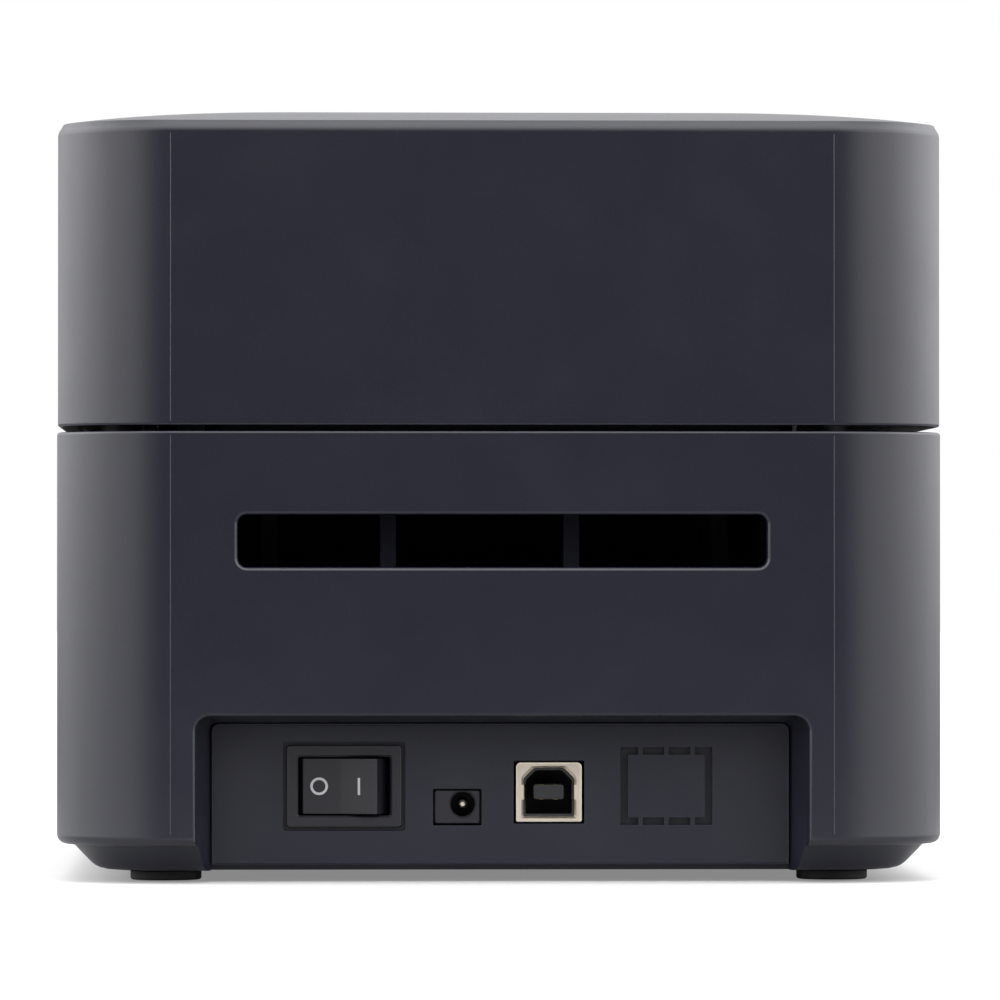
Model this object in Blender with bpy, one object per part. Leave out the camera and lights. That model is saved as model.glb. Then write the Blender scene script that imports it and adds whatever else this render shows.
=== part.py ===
"""Desktop clamshell printer for 80 mm receipt and label media.

Sizes are in millimetres and are scaled to metres as each mesh is stored. The origin is the middle of
the footprint on the table, +Z is up, the label exit faces -Y and the sockets face +Y.
"""

from math import acos, asin, cos, pi, radians, sin, sqrt, tan

import bmesh
import bpy
from mathutils import Matrix, Vector

MM = 0.001
GAP = 0.3  # clearance left between pieces that touch

# case and lid
WIDTH = 162.0
DEPTH = 205.0
HEIGHT = 141.0
CORNER = 21.0
WALL = 2.5
CORNER_STEPS = 7
CASE_BOTTOM = 6.6
CASE_TOP = 81.7
LID_BOTTOM = 82.7
LID_INSET = 0.15
LID_WALL_TOP = 136.0
CROWN_DROP = 3.3
CROWN_REACH = 37.0
CROWN_POWER = 2.2
LID_CAVITY_TOP = HEIGHT - 2.7
LAP_WALL = 1.2  # thickness of the lid's thin lower lip
LAP_HEIGHT = 2.0
REAR = DEPTH / 2
FRONT = -DEPTH / 2

# rear wall: media slot and socket recess
SLOT_HALF = 47.8
SLOT_LOW = 57.1
SLOT_HIGH = 66.5
SLOT_RIB_X = (20.5, -12.9)
SLOT_RIB = 2.8
RECESS_HALF = 55.4
RECESS_TOP = 30.1
RECESS_CORNER = 2.6
RECESS_BACK = 90.2
PANEL_FACE = 90.5
PANEL_THICK = 2.0
PANEL_HALF = 52.4
PANEL_LOW = 3.0
PANEL_HIGH = 28.4
PANEL_CORNER = 1.3

# sockets in the rear panel: centre x, centre z
SWITCH_AT = (28.5, 17.2)
SWITCH_POCKET = (22.3, 16.3)
SWITCH_BEZEL = (21.0, 15.0)
SWITCH_BODY = (18.8, 12.8)
SWITCH_MOUTH = (16.8, 10.7)
SWITCH_PIVOT_DEPTH = 3.6
ROCKER_REST = radians(11.0)
JACK_AT = (7.9, 13.4)
JACK_CUT = (8.9, 6.7)
JACK_HOLE_AT = (6.9, 13.9)
JACK_HOLE = 2.25
JACK_PIN = 0.75
USB_AT = (-8.8, 16.1)
USB_CUT = (13.4, 11.8)
USB_SHELL = (12.04, 10.9)
USB_MOUTH = (9.3, 8.8)
USB_CHAMFER = 1.9
USB_TONGUE = (5.6, 2.8)
BLANK_AT = (-30.2, 17.2)
BLANK_OUTER = (16.8, 14.2)
BLANK_PLATE = (14.0, 11.4)
BLANK_BRIDGES = (-4.8, 0.0, 4.7)
BLANK_BRIDGE = 0.8

# plinth and feet
TRAY_BOTTOM = 1.9
TRAY_FLOOR = 4.4
TRAY_RIM = 12.0
TRAY_CAVITY_REAR = 86.0
FOOT_RADIUS = 6.5
FOOT_X = 61.0
FOOT_Y = 82.0
SCREW_X = 66.0
SCREW_Y = 64.0
SCREW_SHANK = 1.5
SCREW_HEAD = 3.0
BOARD_LOW = 8.4
BOARD_THICK = 1.6

# media bay and deck
BAY_Y = 20.0
BAY_Z = 79.0
BAY_RADIUS = 57.0
SHEET = 2.0
DECK_TOP = 77.5
CHEEK_INNER = 48.5
CHEEK_OUTER = CHEEK_INNER + SHEET
EAR_TOP = 80.5
DECK_STEPS = 22

# platen drive, in the plane of the gears
PLATEN_Y = -90.0
PLATEN_Z = 75.5
PLATEN_RADIUS = 7.0
PLATEN_HALF = 41.5
SHAFT_RADIUS = 3.0
BEARING_RADIUS = 5.0
GEAR_MODULE = 0.8
PLATEN_TEETH = 20
IDLER_TEETH = 30
PINION_TEETH = 12
GEAR_LOW = 55.5
GEAR_HIGH = 60.5
IDLER_DOWN = radians(-45.6)  # direction from the platen to the idler
PINION_DOWN = radians(-53.5)  # direction from the idler to the pinion
MOTOR_SIZE = 35.0
MOTOR_LENGTH = 26.0
MOTOR_SHAFT = 2.5
POST_RADIUS = 2.0

# media guides
GUIDE_FACE = 40.5
GUIDE_THICK = 3.0
GUIDE_CLEAR = 1.6
RACK_MODULE = 1.0
RACK_PINION_TEETH = 16
RACK_LOW = 13.5
RACK_HIGH = 17.5

# lid hinge
HINGE_Y = REAR - 6.5
HINGE_Z = CASE_TOP - 8.0
PIN_RADIUS = 1.5
HUB_RADIUS = 3.5
ARM_X = (54.0, 59.0)
LUG_X = ((51.0, 53.6), (59.4, 62.0))
NECK_INNER = 10.9
NECK_OUTER = 14.6

# latch and print head in the lid
LATCH_Y = -66.0
LATCH_Z = 102.0
LATCH_SHAFT = 2.0
HOOK_X = 66.0
HOOK_THICK = 3.0
STUD_Z = 79.9
STUD_RADIUS = 1.8
LEVER_REACH = 17.0
FRAME_LOW = 94.0
FRAME_HIGH = 96.0
HEAD_LOW = 82.8
SPRING_X = 25.0
SPRING_RADIUS = 2.6
SPRING_WIRE = 0.35
SPRING_TURNS = 4
FRAME_POSTS = ((32.0, -93.0), (45.0, -54.0))

# controls on the lid's front
RELEASE_SIZE = (44.0, 9.0)
RELEASE_Z = 112.0
FEED_AT = (50.0, 112.0)
FEED_RADIUS = 5.5
LENS_AT = (50.0, 100.0)
LENS_SIZE = (14.0, 3.0)

ANCHORS = {}  # world position, in millimetres, of each object that has children


def material(name, colour, roughness, metallic=0.0):
    made = bpy.data.materials.new(name)
    made.use_nodes = True
    shader = made.node_tree.nodes["Principled BSDF"]
    shader.inputs["Base Color"].default_value = (*colour, 1.0)
    shader.inputs["Roughness"].default_value = roughness
    shader.inputs["Metallic"].default_value = metallic
    made.diffuse_color = (*colour, 1.0)
    return made


# ---------------------------------------------------------------- shapes added to a bmesh

def add_block(bm, low, high):
    """A box between two opposite corners."""
    made = bmesh.ops.create_cube(bm, size=1.0)
    size = Vector(high) - Vector(low)
    middle = (Vector(high) + Vector(low)) / 2
    bmesh.ops.scale(bm, vec=size, verts=made["verts"])
    bmesh.ops.translate(bm, vec=middle, verts=made["verts"])


def add_prism(bm, place, outline, low, high):
    """An outline pushed from low to high; place turns (u, v, depth) into a point."""
    base = bm.faces.new([bm.verts.new(place(u, v, low)) for u, v in outline])
    pushed = bmesh.ops.extrude_face_region(bm, geom=[base])["geom"]
    top = [item for item in pushed if isinstance(item, bmesh.types.BMVert)]
    travel = Vector(place(0, 0, high)) - Vector(place(0, 0, low))
    bmesh.ops.translate(bm, vec=travel, verts=top)


def along_x(u, v, depth):
    return (depth, u, v)


def along_y(u, v, depth):
    return (u, depth, v)


def along_z(u, v, depth):
    return (u, v, depth)


def circle(centre, radius, sides, start=0.0):
    angles = [start + 2 * pi * i / sides for i in range(sides)]
    return [(centre[0] + radius * cos(a), centre[1] + radius * sin(a)) for a in angles]


def arc(centre, radius, first, last, steps):
    angles = [first + (last - first) * i / steps for i in range(steps + 1)]
    return [(centre[0] + radius * cos(a), centre[1] + radius * sin(a)) for a in angles]


def add_rod(bm, place, centre, radius, low, high, sides=20):
    add_prism(bm, place, circle(centre, radius, sides, pi / sides), low, high)


def add_turned(bm, place, centre, profile, sides=20):
    """A solid of revolution: profile lists (radius, depth) from one end to the other."""
    circles = [(circle(centre, radius, sides), depth) for radius, depth in profile]
    add_loft(bm, [[place(u, v, depth) for u, v in points] for points, depth in circles])


def add_loft(bm, rings):
    """Closed rings with the same number of points, joined in order and capped at both ends."""
    loops = [[bm.verts.new(point) for point in ring] for ring in rings]
    bm.faces.new(loops[0])
    bm.faces.new(loops[-1])
    for lower, upper in zip(loops, loops[1:]):
        for i in range(len(lower)):
            j = (i + 1) % len(lower)
            bm.faces.new((lower[i], lower[j], upper[j], upper[i]))


def plan_ring(inset, z, corner=None, rear_cut=0.0):
    """The rounded rectangle of the printer's plan, moved in by inset, at height z."""
    radius = CORNER - inset if corner is None else corner
    half_x = WIDTH / 2 - inset - radius
    front = FRONT + inset + radius
    rear = REAR - inset - radius - rear_cut
    centres = ((half_x, rear), (-half_x, rear), (-half_x, front), (half_x, front))
    points = []
    for quarter, centre in enumerate(centres):
        points += arc(centre, radius, quarter * pi / 2, (quarter + 1) * pi / 2, CORNER_STEPS)
    return [(x, y, z) for x, y in points]


def gear_outline(centre, teeth, module, phase):
    """Involute teeth at 20 degrees, with a tooth centred on the angle phase."""
    pitch = module * teeth / 2
    base = pitch * cos(radians(20))
    tip = pitch + 0.92 * module
    root = pitch - 1.2 * module
    half_at_pitch = pi / (2 * teeth) - 0.12 * module / pitch
    involute = tan(radians(20)) - radians(20)
    points = []
    for tooth in range(teeth):
        middle = phase + 2 * pi * tooth / teeth
        flank = []
        for radius in (max(base, root), pitch, tip):
            angle = acos(min(1.0, base / radius))
            flank.append((radius, half_at_pitch + involute - (tan(angle) - angle)))
        flank.insert(0, (root, flank[0][1] + 0.02))
        side = [(r, -h) for r, h in flank] + [(r, h) for r, h in reversed(flank)]
        points += [(centre[0] + r * cos(middle + h), centre[1] + r * sin(middle + h)) for r, h in side]
    return points


# ---------------------------------------------------------------- objects

def store(name, bm, slot, origin=(0, 0, 0), parent=None, smooth=True):
    """Turns the bmesh into a named object whose origin is at the given place."""
    bmesh.ops.recalc_face_normals(bm, faces=bm.faces)
    to_metres = Matrix.Scale(MM, 4) @ Matrix.Translation(-Vector(origin))
    bmesh.ops.transform(bm, matrix=to_metres, verts=bm.verts)
    mesh = bpy.data.meshes.new(name)
    bm.to_mesh(mesh)
    bm.free()
    if smooth:
        mesh.shade_smooth()
        mesh.set_sharp_from_angle(angle=radians(35))
    mesh.materials.append(slot)
    made = bpy.data.objects.new(name, mesh)
    bpy.context.scene.collection.objects.link(made)
    place(made, origin, parent)
    return made


def place(made, origin, parent):
    anchor = Vector(ANCHORS[parent.name]) if parent else Vector((0, 0, 0))
    made.location = (Vector(origin) - anchor) * MM
    made.parent = parent
    ANCHORS[made.name] = tuple(origin)


def pivot(name, origin, parent=None):
    """An empty on a joint's axis, which carries the pieces of one moving body."""
    made = bpy.data.objects.new(name, None)
    made.empty_display_size = 10 * MM
    bpy.context.scene.collection.objects.link(made)
    place(made, origin, parent)
    return made


def combine(target, bm, operation):
    """Cuts the bmesh out of the target, or joins it on, through a hidden guide object."""
    guide = store(f"{target.name}_{operation.lower()}_{len(target.modifiers)}", bm,
                  target.data.materials[0], ANCHORS[target.name], smooth=False)
    guide.hide_render = True
    guide.display_type = "WIRE"
    modifier = target.modifiers.new(operation.title(), "BOOLEAN")
    modifier.operation = operation
    modifier.solver = "EXACT"
    modifier.use_self = True
    modifier.object = guide


def cut(target, bm):
    combine(target, bm, "DIFFERENCE")


def join(target, bm):
    combine(target, bm, "UNION")


# ---------------------------------------------------------------- outer shells

def add_recess(bm, grow, low):
    """The drafted socket recess, open to the rear and downwards."""
    def ring(half, top, corner, y):
        half, top = half + grow, top + grow
        outline = [(half, low), *arc((half - corner, top - corner), corner, 0, pi / 2, 4)]
        outline += [*arc((corner - half, top - corner), corner, pi / 2, pi, 4), (-half, low)]
        return [(x, y, z) for x, z in outline]
    draft = (RECESS_HALF - PANEL_HALF - GAP) / (REAR - RECESS_BACK)
    past = 1.0 if grow == 0 else -0.8
    rim = ring(RECESS_HALF + draft * past, RECESS_TOP, RECESS_CORNER, REAR + past)
    back = ring(PANEL_HALF + GAP, PANEL_HIGH + GAP, PANEL_CORNER, RECESS_BACK)
    open_end = [(x, RECESS_BACK - PANEL_THICK - 1.0, z) for x, y, z in back]
    add_loft(bm, [rim, back, open_end])


def make_lower_case(slot):
    bm = bmesh.new()
    levels = ((1.6, CASE_BOTTOM), (0.5, CASE_BOTTOM + 0.5), (0, CASE_BOTTOM + 1.7), (0, CASE_TOP - 0.5),
              (0.5, CASE_TOP))
    add_loft(bm, [plan_ring(inset, z) for inset, z in levels])
    case = store("lower_case", bm, slot)
    hollow = bmesh.new()
    add_loft(hollow, [plan_ring(WALL, CASE_BOTTOM - 5), plan_ring(WALL, CASE_TOP + 5)])
    cut(case, hollow)
    inner = bmesh.new()
    add_recess(inner, WALL - GAP, TRAY_RIM + GAP)
    for side in (1, -1):
        for x0, x1 in LUG_X:
            low_x, high_x = sorted((side * x0, side * x1))
            add_block(inner, (low_x, HINGE_Y - 4, HINGE_Z - 5), (high_x, REAR - WALL + 0.5, HINGE_Z + 4))
        for end in (1, -1):
            x, y = side * SCREW_X, end * SCREW_Y
            add_rod(inner, along_z, (x, y), 4.0, TRAY_FLOOR + GAP, 30, 16)
            low_x, high_x = sorted((x, side * (WIDTH / 2 - 1)))
            add_block(inner, (low_x, y - 1.2, TRAY_RIM + GAP), (high_x, y + 1.2, 29))
    join(case, inner)
    holes = bmesh.new()
    add_recess(holes, 0, -5)
    add_block(holes, (-SLOT_HALF, REAR - 8, SLOT_LOW), (SLOT_HALF, REAR + 5, SLOT_HIGH))
    add_block(holes, (-46, FRONT - 5, CASE_TOP - 4.2), (46, FRONT + 5, CASE_TOP + 5))
    for side in (1, -1):
        low_x, high_x = sorted((side * 50, side * 63))
        add_rod(holes, along_x, (HINGE_Y, HINGE_Z), PIN_RADIUS + GAP, low_x, high_x, 16)
        for end in (1, -1):
            add_rod(holes, along_z, (side * SCREW_X, end * SCREW_Y), SCREW_SHANK + GAP, 0, 20, 12)
    cut(case, holes)


def make_bottom_tray(slot):
    bm = bmesh.new()
    rim = WALL + GAP
    levels = ((10.4, TRAY_BOTTOM), (7.9, TRAY_BOTTOM + 0.35), (6.4, TRAY_BOTTOM + 1.3),
              (rim + 0.1, CASE_BOTTOM + 0.1), (rim, CASE_BOTTOM + 0.3), (rim, TRAY_RIM))
    add_loft(bm, [plan_ring(inset, z) for inset, z in levels])
    tray = store("bottom_tray", bm, slot)
    hollow = bmesh.new()
    rear_cut = REAR - rim - SHEET - TRAY_CAVITY_REAR
    levels = ((11, TRAY_FLOOR), (rim + SHEET, CASE_BOTTOM + 2), (rim + SHEET, TRAY_RIM + 3))
    add_loft(hollow, [plan_ring(inset, z, rear_cut=rear_cut) for inset, z in levels])
    add_block(hollow, (-PANEL_HALF, TRAY_CAVITY_REAR - 2, TRAY_FLOOR), (PANEL_HALF, REAR, TRAY_RIM + 3))
    cut(tray, hollow)
    posts = bmesh.new()
    for x in (-50, 50):
        for y in (36, 82):
            add_rod(posts, along_z, (x, y), 3, TRAY_FLOOR - 1, BOARD_LOW - GAP, 12)
    join(tray, posts)
    holes = bmesh.new()
    add_recess(holes, 0.4, -5)
    for x in (-SCREW_X, SCREW_X):
        for y in (-SCREW_Y, SCREW_Y):
            profile = ((SCREW_HEAD + GAP, 0), (SCREW_HEAD + GAP, 3.2), (SCREW_SHANK + GAP, 3.2),
                       (SCREW_SHANK + GAP, 8))
            add_turned(holes, along_z, (x, y), profile, 12)
    cut(tray, holes)


def make_feet(slot):
    for name_y, y in (("front", -FOOT_Y), ("rear", FOOT_Y)):
        for name_x, x in (("left", FOOT_X), ("right", -FOOT_X)):
            bm = bmesh.new()
            top = TRAY_BOTTOM - GAP
            profile = ((FOOT_RADIUS - 0.4, 0), (FOOT_RADIUS, 0.4), (FOOT_RADIUS, top))
            add_turned(bm, along_z, (x, y), profile, 24)
            store(f"foot_{name_y}_{name_x}", bm, slot)


def make_base_screws(slot):
    for name_y, y in (("front", -SCREW_Y), ("rear", SCREW_Y)):
        for name_x, x in (("left", SCREW_X), ("right", -SCREW_X)):
            bm = bmesh.new()
            add_turned(bm, along_z, (x, y), ((SCREW_HEAD, 2.1), (SCREW_HEAD, 2.9), (SCREW_SHANK, 2.9),
                                             (SCREW_SHANK, 17)), 12)
            screw = store(f"base_screw_{name_y}_{name_x}", bm, slot)
            drive = bmesh.new()
            add_block(drive, (x - 1.7, y - 0.3, 0), (x + 1.7, y + 0.3, 2.6))
            add_block(drive, (x - 0.3, y - 1.7, 0), (x + 0.3, y + 1.7, 2.6))
            cut(screw, drive)


# ---------------------------------------------------------------- rear panel and sockets

def add_window(bm, centre, size, low, high):
    """A rectangular block along Y around a socket's centre."""
    (x, z), (w, h) = centre, size
    add_block(bm, (x - w / 2, low, z - h / 2), (x + w / 2, high, z + h / 2))


def make_rear_panel(slot):
    bm = bmesh.new()
    corner = PANEL_CORNER
    across, up = PANEL_HALF - corner, PANEL_HIGH - corner
    outline = [(PANEL_HALF, PANEL_LOW), *arc((across, up), corner, 0, pi / 2, 3)]
    outline += [*arc((-across, up), corner, pi / 2, pi, 3)]
    outline += [(-PANEL_HALF, PANEL_LOW)]
    add_prism(bm, along_y, outline, PANEL_FACE - PANEL_THICK, PANEL_FACE)
    panel = store("rear_panel", bm, slot, smooth=False)
    holes = bmesh.new()
    back, front = PANEL_FACE - PANEL_THICK - 3, PANEL_FACE + 3
    add_window(holes, SWITCH_AT, SWITCH_POCKET, PANEL_FACE - 1, front)
    add_window(holes, SWITCH_AT, (SWITCH_BODY[0] + 2 * GAP, SWITCH_BODY[1] + 2 * GAP), back, front - 1)
    add_window(holes, JACK_AT, JACK_CUT, back, front)
    add_window(holes, USB_AT, USB_CUT, back, front)
    x, z = BLANK_AT
    side_w = (BLANK_OUTER[0] - BLANK_PLATE[0]) / 2
    for side in (1, -1):
        middle = x + side * (BLANK_PLATE[0] + side_w) / 2
        add_window(holes, (middle, z), (side_w, BLANK_OUTER[1]), back, front)
    edges = [-BLANK_OUTER[0] / 2 + 0.1]
    for bridge in BLANK_BRIDGES:
        edges += [bridge - BLANK_BRIDGE / 2, bridge + BLANK_BRIDGE / 2]
    edges += [BLANK_OUTER[0] / 2 - 0.1]
    height = (BLANK_OUTER[1] - BLANK_PLATE[1]) / 2
    for side in (1, -1):
        level = z + side * (BLANK_PLATE[1] + height) / 2
        for start, end in zip(edges[::2], edges[1::2]):
            add_window(holes, (x + (start + end) / 2, level), (end - start, height), back, front - 0.5)
    cut(panel, holes)


def make_switch(housing_slot, rocker_slot):
    bm = bmesh.new()
    ledge = PANEL_FACE - 1 + GAP
    add_window(bm, SWITCH_AT, SWITCH_BEZEL, ledge, ledge + 1.2)
    housing = store("switch_housing", bm, housing_slot, smooth=False)
    body = bmesh.new()
    add_window(body, SWITCH_AT, SWITCH_BODY, ledge - 15, ledge + 0.6)
    join(housing, body)
    mouth = bmesh.new()
    add_window(mouth, SWITCH_AT, SWITCH_MOUTH, ledge - 12, ledge + 4)
    cut(housing, mouth)
    axis_y = ledge + 1.2 - SWITCH_PIVOT_DEPTH
    half_top, top, valley = 6.9, 4.2, 3.4
    outline = [(half_top, top), (0, valley), (-half_top, top)]
    outline += [(-7.8, -1), (-4.5, -4.5), (4.5, -4.5), (7.8, -1)]
    turned = [(u * cos(ROCKER_REST) + v * sin(ROCKER_REST), v * cos(ROCKER_REST) - u * sin(ROCKER_REST))
              for u, v in outline]
    origin = (SWITCH_AT[0], axis_y, SWITCH_AT[1])
    rocker = bmesh.new()
    half_z = SWITCH_MOUTH[1] / 2 - GAP
    add_prism(rocker, along_z, [(origin[0] + u, origin[1] + v) for u, v in turned],
              SWITCH_AT[1] - half_z, SWITCH_AT[1] + half_z)
    store("power_rocker", rocker, rocker_slot, origin, smooth=False)


def make_dc_jack(body_slot, pin_slot):
    bm = bmesh.new()
    x, z = JACK_AT
    low_z = BOARD_LOW + BOARD_THICK + GAP
    add_block(bm, (x - 4.5, 75, low_z), (x + 4.5, PANEL_FACE - PANEL_THICK - GAP, z + 4.5))
    body = store("dc_jack_body", bm, body_slot, smooth=False)
    nose = bmesh.new()
    nose_low = z - JACK_CUT[1] / 2 + GAP
    add_block(nose, (x - JACK_CUT[0] / 2 + GAP, 85, nose_low),
              (x + JACK_CUT[0] / 2 - GAP, PANEL_FACE - 0.6, z + JACK_CUT[1] / 2 - GAP))
    join(body, nose)
    hole = bmesh.new()
    profile = ((JACK_PIN + GAP, 77), (JACK_PIN + GAP, 80), (JACK_HOLE, 80), (JACK_HOLE, PANEL_FACE + 2))
    add_turned(hole, along_y, JACK_HOLE_AT, profile, 20)
    cut(body, hole)
    pin = bmesh.new()
    profile = ((JACK_PIN, 77.4), (JACK_PIN, 88.2), (JACK_PIN * 0.5, 88.8))
    add_turned(pin, along_y, JACK_HOLE_AT, profile, 12)
    store("dc_jack_pin", pin, pin_slot)


def usb_outline(size, chamfer):
    (x, z), (w, h) = USB_AT, (size[0] / 2, size[1] / 2)
    return [(x - w, z - h), (x + w, z - h), (x + w, z + h - chamfer), (x + w - chamfer, z + h),
            (x - w + chamfer, z + h), (x - w, z + h - chamfer)]


def make_usb_socket(shell_slot, tongue_slot):
    bm = bmesh.new()
    add_prism(bm, along_y, usb_outline(USB_SHELL, 0.5), 74, PANEL_FACE + 0.1)
    shell = store("usb_shell", bm, shell_slot, smooth=False)
    mouth = bmesh.new()
    add_prism(mouth, along_y, usb_outline(USB_MOUTH, USB_CHAMFER), 75.5, PANEL_FACE + 3)
    cut(shell, mouth)
    tongue = bmesh.new()
    add_window(tongue, USB_AT, USB_TONGUE, 75.5 + GAP, PANEL_FACE - 1.2)
    store("usb_tongue", tongue, tongue_slot, smooth=False)


def make_main_board(slot):
    bm = bmesh.new()
    add_block(bm, (-56, 32, BOARD_LOW), (56, TRAY_CAVITY_REAR - 2.5, BOARD_LOW + BOARD_THICK))
    board = store("main_board", bm, slot, smooth=False)
    chips = bmesh.new()
    top = BOARD_LOW + BOARD_THICK
    packages = ((-36, 50, 14, 14, 1.6), (-12, 46, 9, 6, 1.4), (14, 46, 9, 6, 1.4), (40, 44, 8, 22, 5))
    for x, y, w, d, h in packages:
        add_block(chips, (x - w / 2, y - d / 2, top - 0.5), (x + w / 2, y + d / 2, top + h))
    for x, y in ((30, 70), (-30, 72), (-42, 76)):
        add_rod(chips, along_z, (x, y), 3.2, top - 0.5, top + 0.2 if x == 30 else top + 9, 12)
    join(board, chips)


# ---------------------------------------------------------------- media deck, guides and drive

def gear_centres():
    """Centres of the platen gear, the idler and the pinion, as (y, z)."""
    platen = (PLATEN_Y, PLATEN_Z)
    reach = GEAR_MODULE * (PLATEN_TEETH + IDLER_TEETH) / 2
    idler = (platen[0] + reach * cos(IDLER_DOWN), platen[1] + reach * sin(IDLER_DOWN))
    reach = GEAR_MODULE * (IDLER_TEETH + PINION_TEETH) / 2
    pinion = (idler[0] + reach * cos(PINION_DOWN), idler[1] + reach * sin(PINION_DOWN))
    return platen, idler, pinion


def bay_path(radius, deck_z, front, rear):
    """The deck's profile from front to rear: flat, down round the roll bay, and flat again."""
    lip = asin((BAY_Z - deck_z) / radius)
    curve = arc((BAY_Y, BAY_Z), radius, pi + lip, 2 * pi - lip, DECK_STEPS)
    return [(front, deck_z), *curve, (rear, deck_z)]


def make_media_deck(slot):
    bm = bmesh.new()
    low = [(x, y, z) for x, y, z in plan_ring(WALL + GAP, DECK_TOP - SHEET)]
    high = [(x, y, DECK_TOP) for x, y, z in low]
    add_loft(bm, [low, high])
    deck = store("media_deck", bm, slot)
    well = bmesh.new()
    half_well = sqrt(BAY_RADIUS ** 2 - (BAY_Z - DECK_TOP) ** 2)
    add_block(well, (-CHEEK_INNER, BAY_Y - half_well, 60), (CHEEK_INNER, BAY_Y + half_well, 90))
    add_block(well, (-CHEEK_INNER, FRONT - 1, 60), (CHEEK_INNER, PLATEN_Y + PLATEN_RADIUS + 1, 90))
    cut(deck, well)

    under = bmesh.new()
    front = PLATEN_Y + PLATEN_RADIUS + 1.5
    top = bay_path(BAY_RADIUS, DECK_TOP, front, REAR - 8)
    bottom = bay_path(BAY_RADIUS + SHEET, DECK_TOP - SHEET, front, REAR - 8)
    add_prism(under, along_x, top + bottom[::-1], -CHEEK_OUTER, CHEEK_OUTER)
    cheek = arc((BAY_Y, BAY_Z), BAY_RADIUS + SHEET, 1.19 * pi, 2 * pi - 0.06, DECK_STEPS)
    cheek += [(BAY_Y + BAY_RADIUS + 1, DECK_TOP), (-81.5, DECK_TOP), (-81.5, EAR_TOP), (-98.5, EAR_TOP)]
    cheek += [(-98.5, 62), (-85, 29), (-46, 29)]
    for side in (1, -1):
        low_x, high_x = sorted((side * CHEEK_INNER, side * CHEEK_OUTER))
        add_prism(under, along_x, cheek, low_x, high_x)
    for x in SLOT_RIB_X:
        add_block(under, (x - SLOT_RIB / 2, BAY_Y + 52, 48), (x + SLOT_RIB / 2, 90, DECK_TOP - 1))
    add_rod(under, along_z, (0, BAY_Y), 2.2, RACK_LOW - 1.5, BAY_Z - BAY_RADIUS - 1, 12)
    join(deck, under)

    holes = bmesh.new()
    platen, idler, pinion = gear_centres()
    add_block(holes, (-SLOT_HALF - 0.4, 69, SLOT_LOW - 0.4), (SLOT_HALF + 0.4, 79, SLOT_HIGH + 0.4))
    for side in (1, -1):
        low_x, high_x = sorted((side * (CHEEK_OUTER + 0.1), side * 63))
        add_block(holes, (low_x, HINGE_Y - NECK_OUTER - 2, 60), (high_x, REAR, 90))
        low_x, high_x = sorted((side * 62.5, side * 69.5))
        add_block(holes, (low_x, LATCH_Y - 13, 70), (high_x, LATCH_Y + 5, 90))
        low_x, high_x = sorted((side * 46, side * 54.6))
        add_rod(holes, along_x, platen, BEARING_RADIUS + GAP, low_x, high_x, 24)
        add_block(holes, (low_x, PLATEN_Y - BEARING_RADIUS - GAP, PLATEN_Z),
                  (high_x, PLATEN_Y + BEARING_RADIUS + GAP, 90))
        foot_y = BAY_Y + side * 11
        low_x, high_x = sorted((side * 9, side * 46))
        add_block(holes, (low_x, foot_y - 1.9, 10), (high_x, foot_y + 1.9, 30))
    add_block(holes, (GEAR_LOW - 2, FRONT, 70), (GEAR_HIGH + 2, idler[0] + 14, 90))
    add_rod(holes, along_x, idler, POST_RADIUS + GAP, 46, 52, 12)
    add_rod(holes, along_x, pinion, 11.3, 46, 52, 24)
    add_block(holes, (-8.3, -66.3, 70), (8.3, -56.7, 90))
    cut(deck, holes)


def make_media_guides(slot, pinion_slot):
    pitch = RACK_MODULE * RACK_PINION_TEETH / 2
    rack_line = BAY_Y + pitch
    step = pi * RACK_MODULE
    teeth = [(46.0, rack_line + 4.2), (-8.0, rack_line + 4.2)]
    for i in range(-2, 14):
        middle = (i + 0.5) * step
        for dx, dy in ((-1.15, 1.25), (-0.36, -0.9), (0.36, -0.9), (1.15, 1.25)):
            teeth.append((middle + dx, rack_line + dy))
    reach = BAY_RADIUS - GUIDE_CLEAR
    plate = arc((BAY_Y, BAY_Z), reach, 1.2 * pi, 1.8 * pi, 12)
    plate += [*arc((BAY_Y + 26, 66), 9, 0, pi / 2, 4), *arc((BAY_Y - 26, 66), 9, pi / 2, pi, 4)]
    for name, side in (("left", 1), ("right", -1)):
        turn = Matrix.Translation((0, BAY_Y, 0)) @ Matrix.Rotation(0 if side == 1 else pi, 4, "Z")
        turn = turn @ Matrix.Translation((0, -BAY_Y, 0))
        origin = (side * GUIDE_FACE, BAY_Y, BAY_Z - reach)
        bm = bmesh.new()
        add_prism(bm, along_x, plate, GUIDE_FACE, GUIDE_FACE + GUIDE_THICK)
        bmesh.ops.transform(bm, matrix=turn, verts=bm.verts)
        guide = store(f"media_guide_{name}", bm, slot, origin)
        rack = bmesh.new()
        add_prism(rack, along_z, teeth, RACK_LOW, RACK_HIGH)
        foot_y = BAY_Y + 11
        add_block(rack, (GUIDE_FACE + 0.2, foot_y - 1.4, RACK_LOW + 1), (GUIDE_FACE + GUIDE_THICK - 0.2,
                                                                       foot_y + 1.1, 40))
        bmesh.ops.transform(rack, matrix=turn, verts=rack.verts)
        join(guide, rack)
        grip = bmesh.new()
        add_rod(grip, along_x, (BAY_Y, 56), 9, GUIDE_FACE - 3, GUIDE_FACE + 8, 24)
        bmesh.ops.transform(grip, matrix=turn, verts=grip.verts)
        cut(guide, grip)
    bm = bmesh.new()
    outline = gear_outline((0, BAY_Y), RACK_PINION_TEETH, RACK_MODULE, pi / 2)
    add_prism(bm, along_z, outline, RACK_LOW, RACK_HIGH)
    pinion = store("guide_pinion", bm, pinion_slot, (0, BAY_Y, RACK_LOW))
    bore = bmesh.new()
    add_rod(bore, along_z, (0, BAY_Y), 2.2 + GAP, RACK_LOW - 2, RACK_HIGH + 2, 12)
    cut(pinion, bore)


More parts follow.
